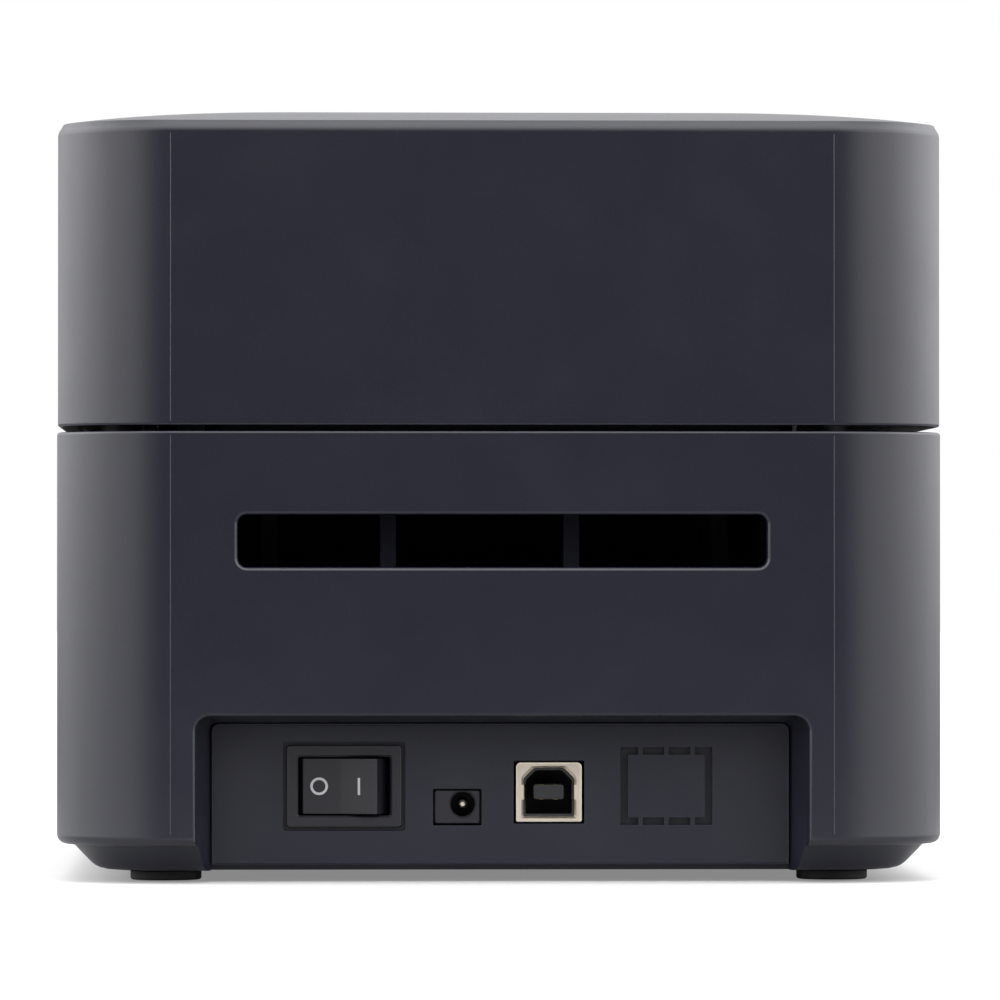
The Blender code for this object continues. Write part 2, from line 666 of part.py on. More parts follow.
def make_gear(name, centre, teeth, phase, bore_radius, slot, parent):
    bm = bmesh.new()
    add_prism(bm, along_x, gear_outline(centre, teeth, GEAR_MODULE, phase), GEAR_LOW, GEAR_HIGH)
    gear = store(name, bm, slot, (0, *centre), parent)
    bore = bmesh.new()
    add_rod(bore, along_x, centre, bore_radius + GAP, GEAR_LOW - 2, GEAR_HIGH + 2, 16)
    cut(gear, bore)


def make_platen_drive(rubber, steel, nylon, bronze, motor_slot):
    platen, idler, pinion = gear_centres()
    roller = pivot("platen_pivot", (0, *platen))
    bm = bmesh.new()
    add_rod(bm, along_x, platen, SHAFT_RADIUS, -54, GEAR_HIGH + 1, 20)
    store("platen_shaft", bm, steel, (0, *platen), roller)
    bm = bmesh.new()
    add_rod(bm, along_x, platen, PLATEN_RADIUS, -PLATEN_HALF, PLATEN_HALF, 32)
    sleeve = store("platen_rubber", bm, rubber, (0, *platen), roller)
    bore = bmesh.new()
    add_rod(bore, along_x, platen, SHAFT_RADIUS + GAP, -PLATEN_HALF - 2, PLATEN_HALF + 2, 20)
    cut(sleeve, bore)
    make_gear("platen_gear", platen, PLATEN_TEETH, IDLER_DOWN, SHAFT_RADIUS, nylon, roller)
    for name, side in (("left", 1), ("right", -1)):
        low_x, high_x = sorted((side * 47.5, side * 53.0))
        bm = bmesh.new()
        add_rod(bm, along_x, platen, BEARING_RADIUS, low_x, high_x, 24)
        bearing = store(f"platen_bearing_{name}", bm, bronze)
        bore = bmesh.new()
        add_rod(bore, along_x, platen, SHAFT_RADIUS + GAP, low_x - 2, high_x + 2, 20)
        cut(bearing, bore)

    idler_pivot = pivot("idler_pivot", (0, *idler))
    phase = IDLER_DOWN + pi + pi / IDLER_TEETH
    make_gear("idler_gear", idler, IDLER_TEETH, phase, POST_RADIUS, nylon, idler_pivot)
    bm = bmesh.new()
    shoulder = 3.2
    profile = ((POST_RADIUS, CHEEK_INNER + GAP), (POST_RADIUS, CHEEK_OUTER + GAP),
               (shoulder, CHEEK_OUTER + GAP), (shoulder, GEAR_LOW - GAP),
               (POST_RADIUS, GEAR_LOW - GAP), (POST_RADIUS, GEAR_HIGH + 1.5))
    add_turned(bm, along_x, idler, profile, 16)
    store("idler_post", bm, steel)

    # the pinion's tooth faces the idler's gap on the line between their centres
    steps = round((PINION_DOWN - phase) / (2 * pi / IDLER_TEETH) - 0.5)
    lean = PINION_DOWN - (phase + (steps + 0.5) * 2 * pi / IDLER_TEETH)
    pinion_phase = PINION_DOWN + pi + lean * IDLER_TEETH / PINION_TEETH
    pinion_pivot = pivot("pinion_pivot", (0, *pinion))
    make_gear("motor_pinion", pinion, PINION_TEETH, pinion_phase, MOTOR_SHAFT, steel, pinion_pivot)
    bm = bmesh.new()
    add_rod(bm, along_x, pinion, MOTOR_SHAFT, 30, GEAR_HIGH + 1, 16)
    store("motor_shaft", bm, steel, (0, *pinion), pinion_pivot)

    bm = bmesh.new()
    half, corner = MOTOR_SIZE / 2, 3.0
    outline = []
    for sy, sz in ((1, 1), (-1, 1), (-1, -1), (1, -1)):
        ends = [(sy * half, sz * (half - corner)), (sy * (half - corner), sz * half)]
        outline += ends if sy * sz > 0 else ends[::-1]
    high_x = CHEEK_INNER - GAP
    outline = [(pinion[0] + u, pinion[1] + v) for u, v in outline]
    add_prism(bm, along_x, outline, high_x - MOTOR_LENGTH, high_x)
    motor = store("stepper_motor", bm, motor_slot, smooth=False)
    boss = bmesh.new()
    add_rod(boss, along_x, pinion, 11, high_x - 1, high_x + 2, 24)
    join(motor, boss)
    bore = bmesh.new()
    add_rod(bore, along_x, pinion, MOTOR_SHAFT + GAP, 28, 60, 16)
    cut(motor, bore)


def make_tear_bar(slot):
    bm = bmesh.new()
    half, low, high, pitch = 45.5, CASE_TOP - 3.8, CASE_TOP + 0.3, 3.5
    teeth = int(2 * half / pitch)
    outline = [(-half, low), (half, low)]
    for i in range(teeth):
        right = half - i * pitch
        outline += [(right, high - 0.9), (right - pitch / 2, high)]
    outline += [(-half, high - 0.9)]
    add_prism(bm, along_y, outline, FRONT + 0.9, FRONT + 2.1)
    store("tear_bar", bm, slot, smooth=False)


def make_gap_sensor(slot):
    bm = bmesh.new()
    add_block(bm, (-8, -66, 70.5), (8, -57, DECK_TOP - 0.2))
    sensor = store("gap_sensor", bm, slot, smooth=False)
    groove = bmesh.new()
    add_rod(groove, along_z, (0, -61.5), 1.6, 75, 80, 12)
    cut(sensor, groove)


# ---------------------------------------------------------------- hinge

def make_hinge_pins(slot):
    for name, side in (("left", 1), ("right", -1)):
        low_x, high_x = sorted((side * 51.2, side * 61.8))
        bm = bmesh.new()
        add_rod(bm, along_x, (HINGE_Y, HINGE_Z), PIN_RADIUS, low_x, high_x, 16)
        store(f"hinge_pin_{name}", bm, slot)


def make_hinge_arms(slot, lid_pivot):
    """Goose-neck arms: hub on the axis, forward, up round the case's edge, and into the lid."""
    y, z = HINGE_Y, HINGE_Z
    pad_y = REAR - LID_INSET - WALL - GAP
    outline = [(y - 2.5, z + 2.4)]
    outline += [(y - NECK_INNER, z + 1.0)]
    outline += arc((y, z), NECK_INNER, radians(170), radians(84), 8)
    outline += [(pad_y, z + NECK_INNER + 0.4), (pad_y, z + 30)]
    outline += [(pad_y - 2.6, z + 30), (pad_y - 2.6, z + 20)]
    outline += arc((y, z), NECK_OUTER, radians(88), radians(180), 8)
    outline += [(y - NECK_OUTER + 0.6, z - 2.6), (y - 2.5, z - 2.4)]
    for name, side in (("left", 1), ("right", -1)):
        low_x, high_x = sorted((side * ARM_X[0], side * ARM_X[1]))
        bm = bmesh.new()
        add_rod(bm, along_x, (y, z), HUB_RADIUS, low_x, high_x, 20)
        arm = store(f"hinge_arm_{name}", bm, slot, (0, y, z), lid_pivot)
        neck = bmesh.new()
        add_prism(neck, along_x, outline, low_x, high_x)
        join(arm, neck)
        bore = bmesh.new()
        add_rod(bore, along_x, (y, z), PIN_RADIUS + GAP, low_x - 2, high_x + 2, 16)
        cut(arm, bore)


# ---------------------------------------------------------------- lid

def crown(inset):
    """Height of the pillow-shaped top at a distance in from the side."""
    return HEIGHT - CROWN_DROP * max(0.0, 1 - inset / CROWN_REACH) ** CROWN_POWER


def make_lid_shell(slot, lid_pivot):
    bm = bmesh.new()
    edge = LID_INSET
    rings = [plan_ring(edge + 0.4, LID_BOTTOM), plan_ring(edge, LID_BOTTOM + 0.4),
             plan_ring(edge, LID_WALL_TOP), plan_ring(edge + 0.25, LID_WALL_TOP + 0.75),
             plan_ring(edge + 0.85, LID_WALL_TOP + 1.45)]
    soft = CORNER - 2
    rings += [plan_ring(inset, crown(inset), soft) for inset in (2, 5, 10, 16, 24, CROWN_REACH)]
    add_loft(bm, rings)
    origin = (0, HINGE_Y, HINGE_Z)
    lid = store("lid_shell", bm, slot, origin, lid_pivot)
    hollow = bmesh.new()
    inner = edge + WALL
    lap = edge + LAP_WALL
    rings = [plan_ring(lap, LID_BOTTOM - 3), plan_ring(lap, LID_BOTTOM + LAP_HEIGHT),
             plan_ring(inner, LID_BOTTOM + LAP_HEIGHT), plan_ring(inner, LID_WALL_TOP - 2),
             plan_ring(inner + 2, LID_WALL_TOP), plan_ring(inner + 14, LID_CAVITY_TOP - 0.8, soft - 2),
             plan_ring(CROWN_REACH, LID_CAVITY_TOP, soft - 2)]
    add_loft(hollow, rings)
    cut(lid, hollow)
    ribs = bmesh.new()
    for x, y in FRAME_POSTS:
        for side in (1, -1):
            add_rod(ribs, along_z, (side * x, y), 3.5, FRAME_HIGH + GAP, LID_CAVITY_TOP, 14)
    for side in (1, -1):
        add_block(ribs, (side * 62 - 1, -70, 118), (side * 62 + 1, 78, LID_CAVITY_TOP))
    for y in (-12, 52):
        add_block(ribs, (-62, y - 1, 130), (62, y + 1, LID_CAVITY_TOP))
    join(lid, ribs)
    holes = bmesh.new()
    add_block(holes, (-46, FRONT - 5, LID_BOTTOM - 5), (46, FRONT + 5, LID_BOTTOM + 5.3))
    for centre, (w, h) in (((0, RELEASE_Z), RELEASE_SIZE), (LENS_AT, LENS_SIZE)):
        add_window(holes, centre, (w + 2 * GAP, h + 2 * GAP), FRONT - 5, FRONT + 5)
    add_rod(holes, along_y, FEED_AT, FEED_RADIUS + GAP, FRONT - 5, FRONT + 5, 28)
    cut(lid, holes)


def make_lid_frame(slot, lid_pivot):
    origin = (0, HINGE_Y, HINGE_Z)
    bm = bmesh.new()
    add_block(bm, (-60, -98.5, FRAME_LOW), (60, -49, FRAME_HIGH))
    frame = store("lid_frame", bm, slot, origin, lid_pivot, smooth=False)
    ribs = bmesh.new()
    for side in (1, -1):
        low_x, high_x = sorted((side * 55, side * 58))
        ear = [(LATCH_Y - 5, FRAME_HIGH - 1), (LATCH_Y + 5, FRAME_HIGH - 1)]
        ear += arc((LATCH_Y, LATCH_Z), 5, 0, pi, 10)
        add_prism(ribs, along_x, ear, low_x, high_x)
    add_block(ribs, (-60, -51, FRAME_LOW - 6), (60, -49, FRAME_LOW + 0.5))
    for x in (-30, 0, 30):
        add_block(ribs, (x - 1, -60, FRAME_LOW - 5), (x + 1, -50, FRAME_LOW + 0.5))
    join(frame, ribs)
    holes = bmesh.new()
    add_rod(holes, along_x, (LATCH_Y, LATCH_Z), LATCH_SHAFT + GAP, -70, 70, 16)
    add_block(holes, (-20, -84, FRAME_LOW - 3), (20, -74, FRAME_HIGH + 3))
    cut(frame, holes)


def make_print_head(ceramic, alloy, steel, lid_pivot):
    head = pivot("head_pivot", (0, PLATEN_Y, HEAD_LOW), lid_pivot)
    stack = (("thermal_strip", ceramic, 42.0, -97.0, -83.0, 0.0, 1.0),
             ("heat_sink", alloy, 43.0, -98.0, -80.0, 1.3, 4.3),
             ("head_carrier", steel, 46.0, -98.3, -76.0, 4.6, 5.8))
    for name, slot, half, front, rear, low, high in stack:
        bm = bmesh.new()
        add_block(bm, (-half, front, HEAD_LOW + low), (half, rear, HEAD_LOW + high))
        piece = store(name, bm, slot, (0, PLATEN_Y, HEAD_LOW), head, smooth=False)
        if name == "heat_sink":
            fins = bmesh.new()
            for i in range(-3, 4):
                add_block(fins, (i * 11 - 3, front - 2, HEAD_LOW + 2.8),
                          (i * 11 + 3, rear + 2, HEAD_LOW + 6))
            cut(piece, fins)
        if name == "head_carrier":
            tabs = bmesh.new()
            for side in (1, -1):
                low_x, high_x = sorted((side * 44.8, side * 46))
                add_block(tabs, (low_x, -92, HEAD_LOW + 5), (high_x, -80, HEAD_LOW + 9.5))
            join(piece, tabs)


def make_head_springs(slot, lid_pivot):
    low, high = HEAD_LOW + 5.8 + GAP + SPRING_WIRE, FRAME_LOW - GAP - SPRING_WIRE
    steps = 10
    for name, side in (("left", 1), ("right", -1)):
        centre = (side * SPRING_X, PLATEN_Y, low)
        curve = bpy.data.curves.new(f"head_spring_{name}", "CURVE")
        curve.dimensions = "3D"
        curve.bevel_depth = SPRING_WIRE * MM
        curve.bevel_resolution = 0
        curve.use_fill_caps = True
        spline = curve.splines.new("POLY")
        count = SPRING_TURNS * steps
        spline.points.add(count)
        for i in range(count + 1):
            angle = 2 * pi * i / steps
            rise = (high - low) * i / count
            point = (SPRING_RADIUS * cos(angle) * MM, SPRING_RADIUS * sin(angle) * MM, rise * MM, 1)
            spline.points[i].co = point
        curve.materials.append(slot)
        made = bpy.data.objects.new(f"head_spring_{name}", curve)
        bpy.context.scene.collection.objects.link(made)
        place(made, centre, lid_pivot)


def make_latch(steel, lid_pivot):
    axis = (0, LATCH_Y, LATCH_Z)
    latch = pivot("latch_pivot", axis, lid_pivot)
    bm = bmesh.new()
    add_rod(bm, along_x, (LATCH_Y, LATCH_Z), LATCH_SHAFT, -70, 70, 16)
    store("latch_shaft", bm, steel, axis, latch)
    near = LATCH_Y - STUD_RADIUS - 0.5
    under = STUD_Z - STUD_RADIUS - 0.4
    hub = 4.5
    hook = [(near, under), (near, LATCH_Z - 9), (LATCH_Y + 4.4, LATCH_Z - 3)]
    hook += arc((LATCH_Y, LATCH_Z), hub, 0.06 * pi, 0.9 * pi, 8)
    hook += [(near - 4.2, LATCH_Z - 4), (near - 4.2, under - 2.4)]
    hook += [(LATCH_Y - 1.0, under - 2.4), (LATCH_Y + 1.2, under)]
    for name, side in (("left", 1), ("right", -1)):
        low_x, high_x = sorted((side * (HOOK_X - HOOK_THICK / 2), side * (HOOK_X + HOOK_THICK / 2)))
        bm = bmesh.new()
        add_prism(bm, along_x, hook, low_x, high_x)
        piece = store(f"latch_hook_{name}", bm, steel, axis, latch, smooth=False)
        bore = bmesh.new()
        add_rod(bore, along_x, (LATCH_Y, LATCH_Z), LATCH_SHAFT + GAP, low_x - 2, high_x + 2, 16)
        cut(piece, bore)
    lever = [*arc((LATCH_Y, LATCH_Z), hub, pi, 2 * pi, 10), (LATCH_Y + 2, LATCH_Z + LEVER_REACH),
             (LATCH_Y - 2, LATCH_Z + LEVER_REACH)]
    bm = bmesh.new()
    add_prism(bm, along_x, lever, -2.5, 2.5)
    piece = store("latch_lever", bm, steel, axis, latch, smooth=False)
    bore = bmesh.new()
    add_rod(bore, along_x, (LATCH_Y, LATCH_Z), LATCH_SHAFT + GAP, -5, 5, 16)
    cut(piece, bore)


def make_strike_studs(slot):
    for name, side in (("left", 1), ("right", -1)):
        low_x, high_x = sorted((side * 63.5, side * (WIDTH / 2 - WALL - GAP)))
        bm = bmesh.new()
        add_rod(bm, along_x, (LATCH_Y, STUD_Z), STUD_RADIUS, low_x, high_x, 16)
        store(f"strike_stud_{name}", bm, slot)


def make_release_button(slot, lid_pivot):
    face = FRONT + 0.2
    origin = (0, face, RELEASE_Z)
    bm = bmesh.new()
    add_window(bm, (0, RELEASE_Z), RELEASE_SIZE, face, FRONT + WALL + LID_INSET + 1)
    button = store("release_button", bm, slot, origin, lid_pivot, smooth=False)
    back = bmesh.new()
    flange = (RELEASE_SIZE[0] + 5, RELEASE_SIZE[1] + 5)
    add_window(back, (0, RELEASE_Z), flange, FRONT + WALL + LID_INSET + GAP, FRONT + WALL + 2)
    add_window(back, (0, RELEASE_Z + 5), (6, 4), FRONT + WALL + 1, LATCH_Y - 3.2)
    join(button, back)


def make_controls(button_slot, lens_slot, board_slot, lid_pivot):
    face = FRONT + 0.2
    inner = FRONT + WALL + LID_INSET
    bm = bmesh.new()
    profile = ((FEED_RADIUS - 0.4, face), (FEED_RADIUS, face + 0.4), (FEED_RADIUS, inner + GAP),
               (FEED_RADIUS + 1, inner + GAP), (FEED_RADIUS + 1, inner + 1.3),
               (1.5, inner + 1.3), (1.5, inner + 1.8))
    add_turned(bm, along_y, FEED_AT, profile, 28)
    store("feed_button", bm, button_slot, (FEED_AT[0], face, FEED_AT[1]), lid_pivot)
    bm = bmesh.new()
    add_window(bm, LENS_AT, LENS_SIZE, face, inner + 1)
    store("status_lens", bm, lens_slot, (LENS_AT[0], face, LENS_AT[1]), lid_pivot, smooth=False)
    bm = bmesh.new()
    add_block(bm, (38, inner + 3.0, FRAME_HIGH + 1), (62, inner + 4.6, FEED_AT[1] + 9))
    store("control_board", bm, board_slot, (0, HINGE_Y, HINGE_Z), lid_pivot, smooth=False)


def main():
    for old in list(bpy.data.objects):
        bpy.data.objects.remove(old, do_unlink=True)
    shell = material("charcoal_shell", (0.026, 0.027, 0.036), 0.5)
    inner_plastic = material("inner_plastic", (0.02, 0.02, 0.024), 0.6)
    switch_plastic = material("switch_plastic", (0.018, 0.018, 0.022), 0.4)
    rubber = material("black_rubber", (0.012, 0.012, 0.013), 0.85)
    steel = material("steel", (0.56, 0.56, 0.55), 0.35, 1.0)
    nickel = material("nickel_plate", (0.62, 0.57, 0.48), 0.3, 1.0)
    bronze = material("sintered_bronze", (0.45, 0.32, 0.18), 0.5, 1.0)
    alloy = material("aluminium", (0.72, 0.73, 0.74), 0.4, 1.0)
    nylon = material("gear_nylon", (0.75, 0.74, 0.68), 0.5)
    board = material("circuit_board", (0.02, 0.12, 0.05), 0.5)
    ceramic = material("ceramic_strip", (0.55, 0.5, 0.42), 0.25)
    lens = material("clear_lens", (0.5, 0.55, 0.6), 0.15)
    button = material("button_plastic", (0.09, 0.09, 0.1), 0.45)

    make_lower_case(shell)
    make_bottom_tray(shell)
    make_feet(rubber)
    make_base_screws(steel)
    make_rear_panel(shell)
    make_switch(switch_plastic, switch_plastic)
    make_dc_jack(switch_plastic, steel)
    make_usb_socket(nickel, switch_plastic)
    make_main_board(board)
    make_media_deck(inner_plastic)
    make_media_guides(inner_plastic, nylon)
    make_platen_drive(rubber, steel, nylon, bronze, steel)
    make_tear_bar(steel)
    make_gap_sensor(switch_plastic)
    make_hinge_pins(steel)
    make_strike_studs(steel)

    lid_pivot = pivot("lid_pivot", (0, HINGE_Y, HINGE_Z))
    make_lid_shell(shell, lid_pivot)
    make_hinge_arms(inner_plastic, lid_pivot)
    make_lid_frame(inner_plastic, lid_pivot)
    make_print_head(ceramic, alloy, steel, lid_pivot)
    make_head_springs(steel, lid_pivot)
    make_latch(steel, lid_pivot)
    make_release_button(button, lid_pivot)
    make_controls(button, lens, board, lid_pivot)


main()
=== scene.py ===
from math import cos, pi, radians, sin

import bmesh
import bpy
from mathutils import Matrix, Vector


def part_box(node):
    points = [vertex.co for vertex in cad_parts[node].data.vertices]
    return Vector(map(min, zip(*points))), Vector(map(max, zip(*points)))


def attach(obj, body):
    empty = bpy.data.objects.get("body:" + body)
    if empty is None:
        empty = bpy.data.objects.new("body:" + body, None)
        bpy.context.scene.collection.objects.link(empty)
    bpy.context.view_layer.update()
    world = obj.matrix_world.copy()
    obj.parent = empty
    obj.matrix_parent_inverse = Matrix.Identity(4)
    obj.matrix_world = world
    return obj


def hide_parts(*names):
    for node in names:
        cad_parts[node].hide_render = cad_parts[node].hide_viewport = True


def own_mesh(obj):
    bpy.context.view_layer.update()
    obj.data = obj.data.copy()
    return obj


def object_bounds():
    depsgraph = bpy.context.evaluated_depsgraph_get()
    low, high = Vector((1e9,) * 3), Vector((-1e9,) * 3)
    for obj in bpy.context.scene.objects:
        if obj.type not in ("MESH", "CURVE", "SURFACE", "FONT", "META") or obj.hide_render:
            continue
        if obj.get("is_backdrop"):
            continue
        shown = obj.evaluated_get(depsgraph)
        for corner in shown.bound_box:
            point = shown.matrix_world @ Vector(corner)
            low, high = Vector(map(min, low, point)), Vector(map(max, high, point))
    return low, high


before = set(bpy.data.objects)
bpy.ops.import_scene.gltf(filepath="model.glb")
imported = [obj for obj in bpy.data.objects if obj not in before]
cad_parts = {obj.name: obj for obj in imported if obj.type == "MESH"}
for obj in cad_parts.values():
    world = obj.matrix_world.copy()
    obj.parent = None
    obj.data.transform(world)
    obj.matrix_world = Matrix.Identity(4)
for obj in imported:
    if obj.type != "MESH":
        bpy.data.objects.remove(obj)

cad_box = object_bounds()

# ---- Camera, floor and light ----
# A long lens looks at the back of the printer from just above table height, a touch to one side.
# The floor is pale board, and the light is a soft white tent, brightest beside and beyond the printer.
rear_face = cad_box[1].y
camera_distance = 1.4
camera_swing = radians(1.8)
eye_height = 0.0557
look_at = Vector((0.0005, rear_face, 0.0692))
eye = look_at + Vector((sin(camera_swing), cos(camera_swing), 0)) * camera_distance
eye.z = eye_height
camera_data = bpy.data.cameras.new("studio_camera")
camera_data.lens = 279.0
camera_data.sensor_width = 36.0
camera = bpy.data.objects.new("studio_camera", camera_data)
camera.location = eye
camera.rotation_euler = (look_at - eye).to_track_quat("-Z", "Y").to_euler()
bpy.context.scene.collection.objects.link(camera)
bpy.context.scene.camera = camera
bpy.context.scene.view_settings.view_transform = "Standard"


def node(tree, kind, fed=None, **settings):
    """A node with its settings by name; fed says which output each of its inputs is joined to."""
    made = tree.nodes.new(kind)
    for key, value in settings.items():
        label = key.replace("_", " ")
        if label in made.inputs and not hasattr(made, key):
            made.inputs[label].default_value = value
        else:
            setattr(made, key, value)
    for socket, output in (fed or {}).items():
        tree.links.new(output, made.inputs[socket])
    return made


floor_mesh = bpy.data.meshes.new("studio_floor")
bm = bmesh.new()
floor_reach = 6.0
bmesh.ops.create_grid(bm, x_segments=8, y_segments=8, size=floor_reach)
bm.to_mesh(floor_mesh)
bm.free()
floor = bpy.data.objects.new("studio_floor", floor_mesh)
floor.location.z = -0.0002
bpy.context.scene.collection.objects.link(floor)
floor_paint = bpy.data.materials.new("pale_board")
floor_paint.use_nodes = True
tree = floor_paint.node_tree
shader = tree.nodes["Principled BSDF"]
shader.inputs["Roughness"].default_value = 0.9
shader.inputs["Specular IOR Level"].default_value = 0.1
shader.inputs["Emission Color"].default_value = (1, 1, 1, 1)
ray = node(tree, "ShaderNodeLightPath").outputs
floor_glow = node(tree, "ShaderNodeMath", {0: ray["Is Camera Ray"]}, operation="MULTIPLY")
floor_glow.inputs[1].default_value = 0.24
place = node(tree, "ShaderNodeTexCoord").outputs["Object"]
distance = node(tree, "ShaderNodeVectorMath", {0: place}, operation="LENGTH").outputs["Value"]
# in the printer's gloss, the board darkens with distance
fade = node(tree, "ShaderNodeMapRange", {"Value": distance}, From_Min=0.15, From_Max=0.34)
mirrored = {0: ray["Is Glossy Ray"], 1: fade.outputs["Result"]}
mask = node(tree, "ShaderNodeMath", mirrored, operation="MULTIPLY")
floor_tone = node(tree, "ShaderNodeMix", {0: mask.outputs[0]}, data_type="RGBA")
floor_tone.inputs[6].default_value = (0.38, 0.38, 0.38, 1)
floor_tone.inputs[7].default_value = (0.05, 0.05, 0.05, 1)
tree.links.new(floor_glow.outputs[0], shader.inputs["Emission Strength"])
tree.links.new(floor_tone.outputs[2], shader.inputs["Base Color"])
floor_mesh.materials.append(floor_paint)
floor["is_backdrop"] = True

tent = bpy.data.worlds.new("light_tent")
bpy.context.scene.world = tent
tent.use_nodes = True
tree = tent.node_tree
tree.nodes.clear()
split = node(tree, "ShaderNodeSeparateXYZ", {0: node(tree, "ShaderNodeTexCoord").outputs["Generated"]})
facing = node(tree, "ShaderNodeMapRange", {"Value": split.outputs["Y"]}, From_Min=-1.0)
falloff = node(tree, "ShaderNodeValToRGB", {"Fac": facing.outputs["Result"]})
levels = falloff.color_ramp.elements  # from the far side, at 0, to behind the lens, at 1
levels[0].color = (0.16, 0.16, 0.16, 1)
levels[1].color = (0.0, 0.0, 0.0, 1)
for position, level in ((0.06, 0.38), (0.2, 0.88), (0.35, 1.0), (0.6, 1.0), (0.82, 0.86),
                        (0.9, 0.76), (0.96, 0.31), (0.985, 0.03)):
    levels.new(position).color = (level, level, level, 1)
tent_light = node(tree, "ShaderNodeBackground", {"Color": falloff.outputs["Color"]}, Strength=3.8)
tent_wall = node(tree, "ShaderNodeBackground", Color=(1, 1, 1, 1), Strength=1.0)
seen = node(tree, "ShaderNodeLightPath").outputs["Is Camera Ray"]
either = node(tree, "ShaderNodeMixShader", {0: seen, 1: tent_light.outputs[0], 2: tent_wall.outputs[0]})
node(tree, "ShaderNodeOutputWorld", {0: either.outputs[0]})


def softbox(name, place, aim, size, power):
    lamp = bpy.data.lights.new(name, "AREA")
    lamp.shape = "RECTANGLE"
    lamp.size, lamp.size_y = size
    lamp.energy = power
    made = bpy.data.objects.new(name, lamp)
    made.location = place
    made.rotation_euler = (Vector(aim) - Vector(place)).to_track_quat("-Z", "Y").to_euler()
    made.visible_camera = False
    bpy.context.scene.collection.objects.link(made)


softbox("softbox_left", (1.1, 0.0, 0.55), (0, 0, 0.07), (0.9, 0.9), 3)
softbox("softbox_right", (-1.1, 0.0, 0.55), (0, 0, 0.07), (0.9, 0.9), 3)
softbox("softbox_top", (0, -0.2, 1.3), (0, 0, 0.1), (1.2, 1.2), 4)

# ---- Lower case ----
# The lower case is an injection moulding in charcoal ABS with 2.5 mm walls and a fine spark-eroded
# face. Its rear wall has the media slot and the drafted recess for the sockets.
MM = 0.001


def span(name):
    """The lowest and highest corners of a CAD piece, in millimetres."""
    return [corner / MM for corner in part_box(name)]


def middle_of(name):
    return [(low + high) / 2 for low, high in zip(*span(name))]


case_low, case_high = span("lower_case")
case_width = case_high.x - case_low.x
case_rear = case_high.y
case_front = case_low.y
case_top = case_high.z
case_foot = 6.6
corner_radius = 21.0
wall = 2.5
gap = 0.3
skin = 0.045  # the witness ridges stand this much proud of the faces


def add_rings(bm, rings):
    """Closed rings of equal length, joined in order and capped at both ends."""
    loops = [[bm.verts.new(point) for point in ring] for ring in rings]
    bm.faces.new(loops[0])
    bm.faces.new(loops[-1])
    for lower, upper in zip(loops, loops[1:]):
        for i, vertex in enumerate(lower):
            j = (i + 1) % len(lower)
            bm.faces.new((vertex, lower[j], upper[j], upper[i]))


def add_block(bm, low, high):
    (x0, y0, z0), (x1, y1, z1) = low, high
    add_rings(bm, [[(x0, y0, z), (x1, y0, z), (x1, y1, z), (x0, y1, z)] for z in (z0, z1)])


def along(axis):
    """Turns (u, v, depth) into a point, with depth along the named axis."""
    order = {"X": (2, 0, 1), "Y": (0, 2, 1), "Z": (0, 1, 2)}[axis]
    return lambda *point: tuple(point[i] for i in order)


def arc(centre, radius, first, last, steps):
    angles = [first + (last - first) * i / steps for i in range(steps + 1)]
    return [(centre[0] + radius * cos(a), centre[1] + radius * sin(a)) for a in angles]


def add_prism(bm, axis, outline, low, high):
    place = along(axis)
    add_rings(bm, [[place(u, v, depth) for u, v in outline] for depth in (low, high)])


def add_turned(bm, axis, centre, profile, sides=48):
    """A turned solid: profile lists (radius, depth) from one end to the other."""
    place = along(axis)
    circles = [(arc(centre, radius, 0, 2 * pi, sides)[:-1], depth) for radius, depth in profile]
    add_rings(bm, [[place(u, v, depth) for u, v in points] for points, depth in circles])


def ordered(side, near, far):
    """The two distances from the middle on one side, lowest first."""
    return sorted((side * near, side * far))


def plan_ring(inset, z, corner=None, rear_cut=0.0, steps=20):
    """The rounded rectangle of the printer's plan, moved in by inset, at height z."""
    radius = corner_radius - inset if corner is None else corner
    x = case_width / 2 - inset - radius
    front = case_front + inset + radius
    rear = case_rear - inset - radius - rear_cut
    points = []
    for quarter, centre in enumerate(((x, rear), (-x, rear), (-x, front), (x, front))):
        points += arc(centre, radius, quarter * pi / 2, (quarter + 1) * pi / 2, steps)
    return [(x, y, z) for x, y in points]


def roll(radius, steps=5):
    """(inset, rise) pairs round the quarter circle of an outer edge, from the flat end to the wall."""
    angles = [pi / 2 * i / steps for i in range(steps + 1)]
    return [(radius * (1 - sin(a)), radius * (1 - cos(a))) for a in angles]


def store(name, bm):
    """Turns a bmesh in millimetres into an object in metres."""
    bmesh.ops.recalc_face_normals(bm, faces=bm.faces)
    bmesh.ops.scale(bm, vec=(MM, MM, MM), verts=bm.verts)
    mesh = bpy.data.meshes.new(name)
    bm.to_mesh(mesh)
    bm.free()
    made = bpy.data.objects.new(name, mesh)
    bpy.context.scene.collection.objects.link(made)
    return made


def shape(target, bm, operation="DIFFERENCE"):
    """Cuts the bmesh out of the piece, or joins it on, for good."""
    tool = store("tool", bm)
    modifier = target.modifiers.new("shape", "BOOLEAN")
    modifier.operation = operation
    modifier.solver = "EXACT"
    modifier.use_self = True
    modifier.object = tool
    settle(target)
    bpy.data.objects.remove(tool)


def settle(target):
    """Applies the piece's modifiers."""
    bpy.context.view_layer.update()
    seen_now = target.evaluated_get(bpy.context.evaluated_depsgraph_get())
    mesh = bpy.data.meshes.new_from_object(seen_now)
    target.modifiers.clear()
    target.data = mesh


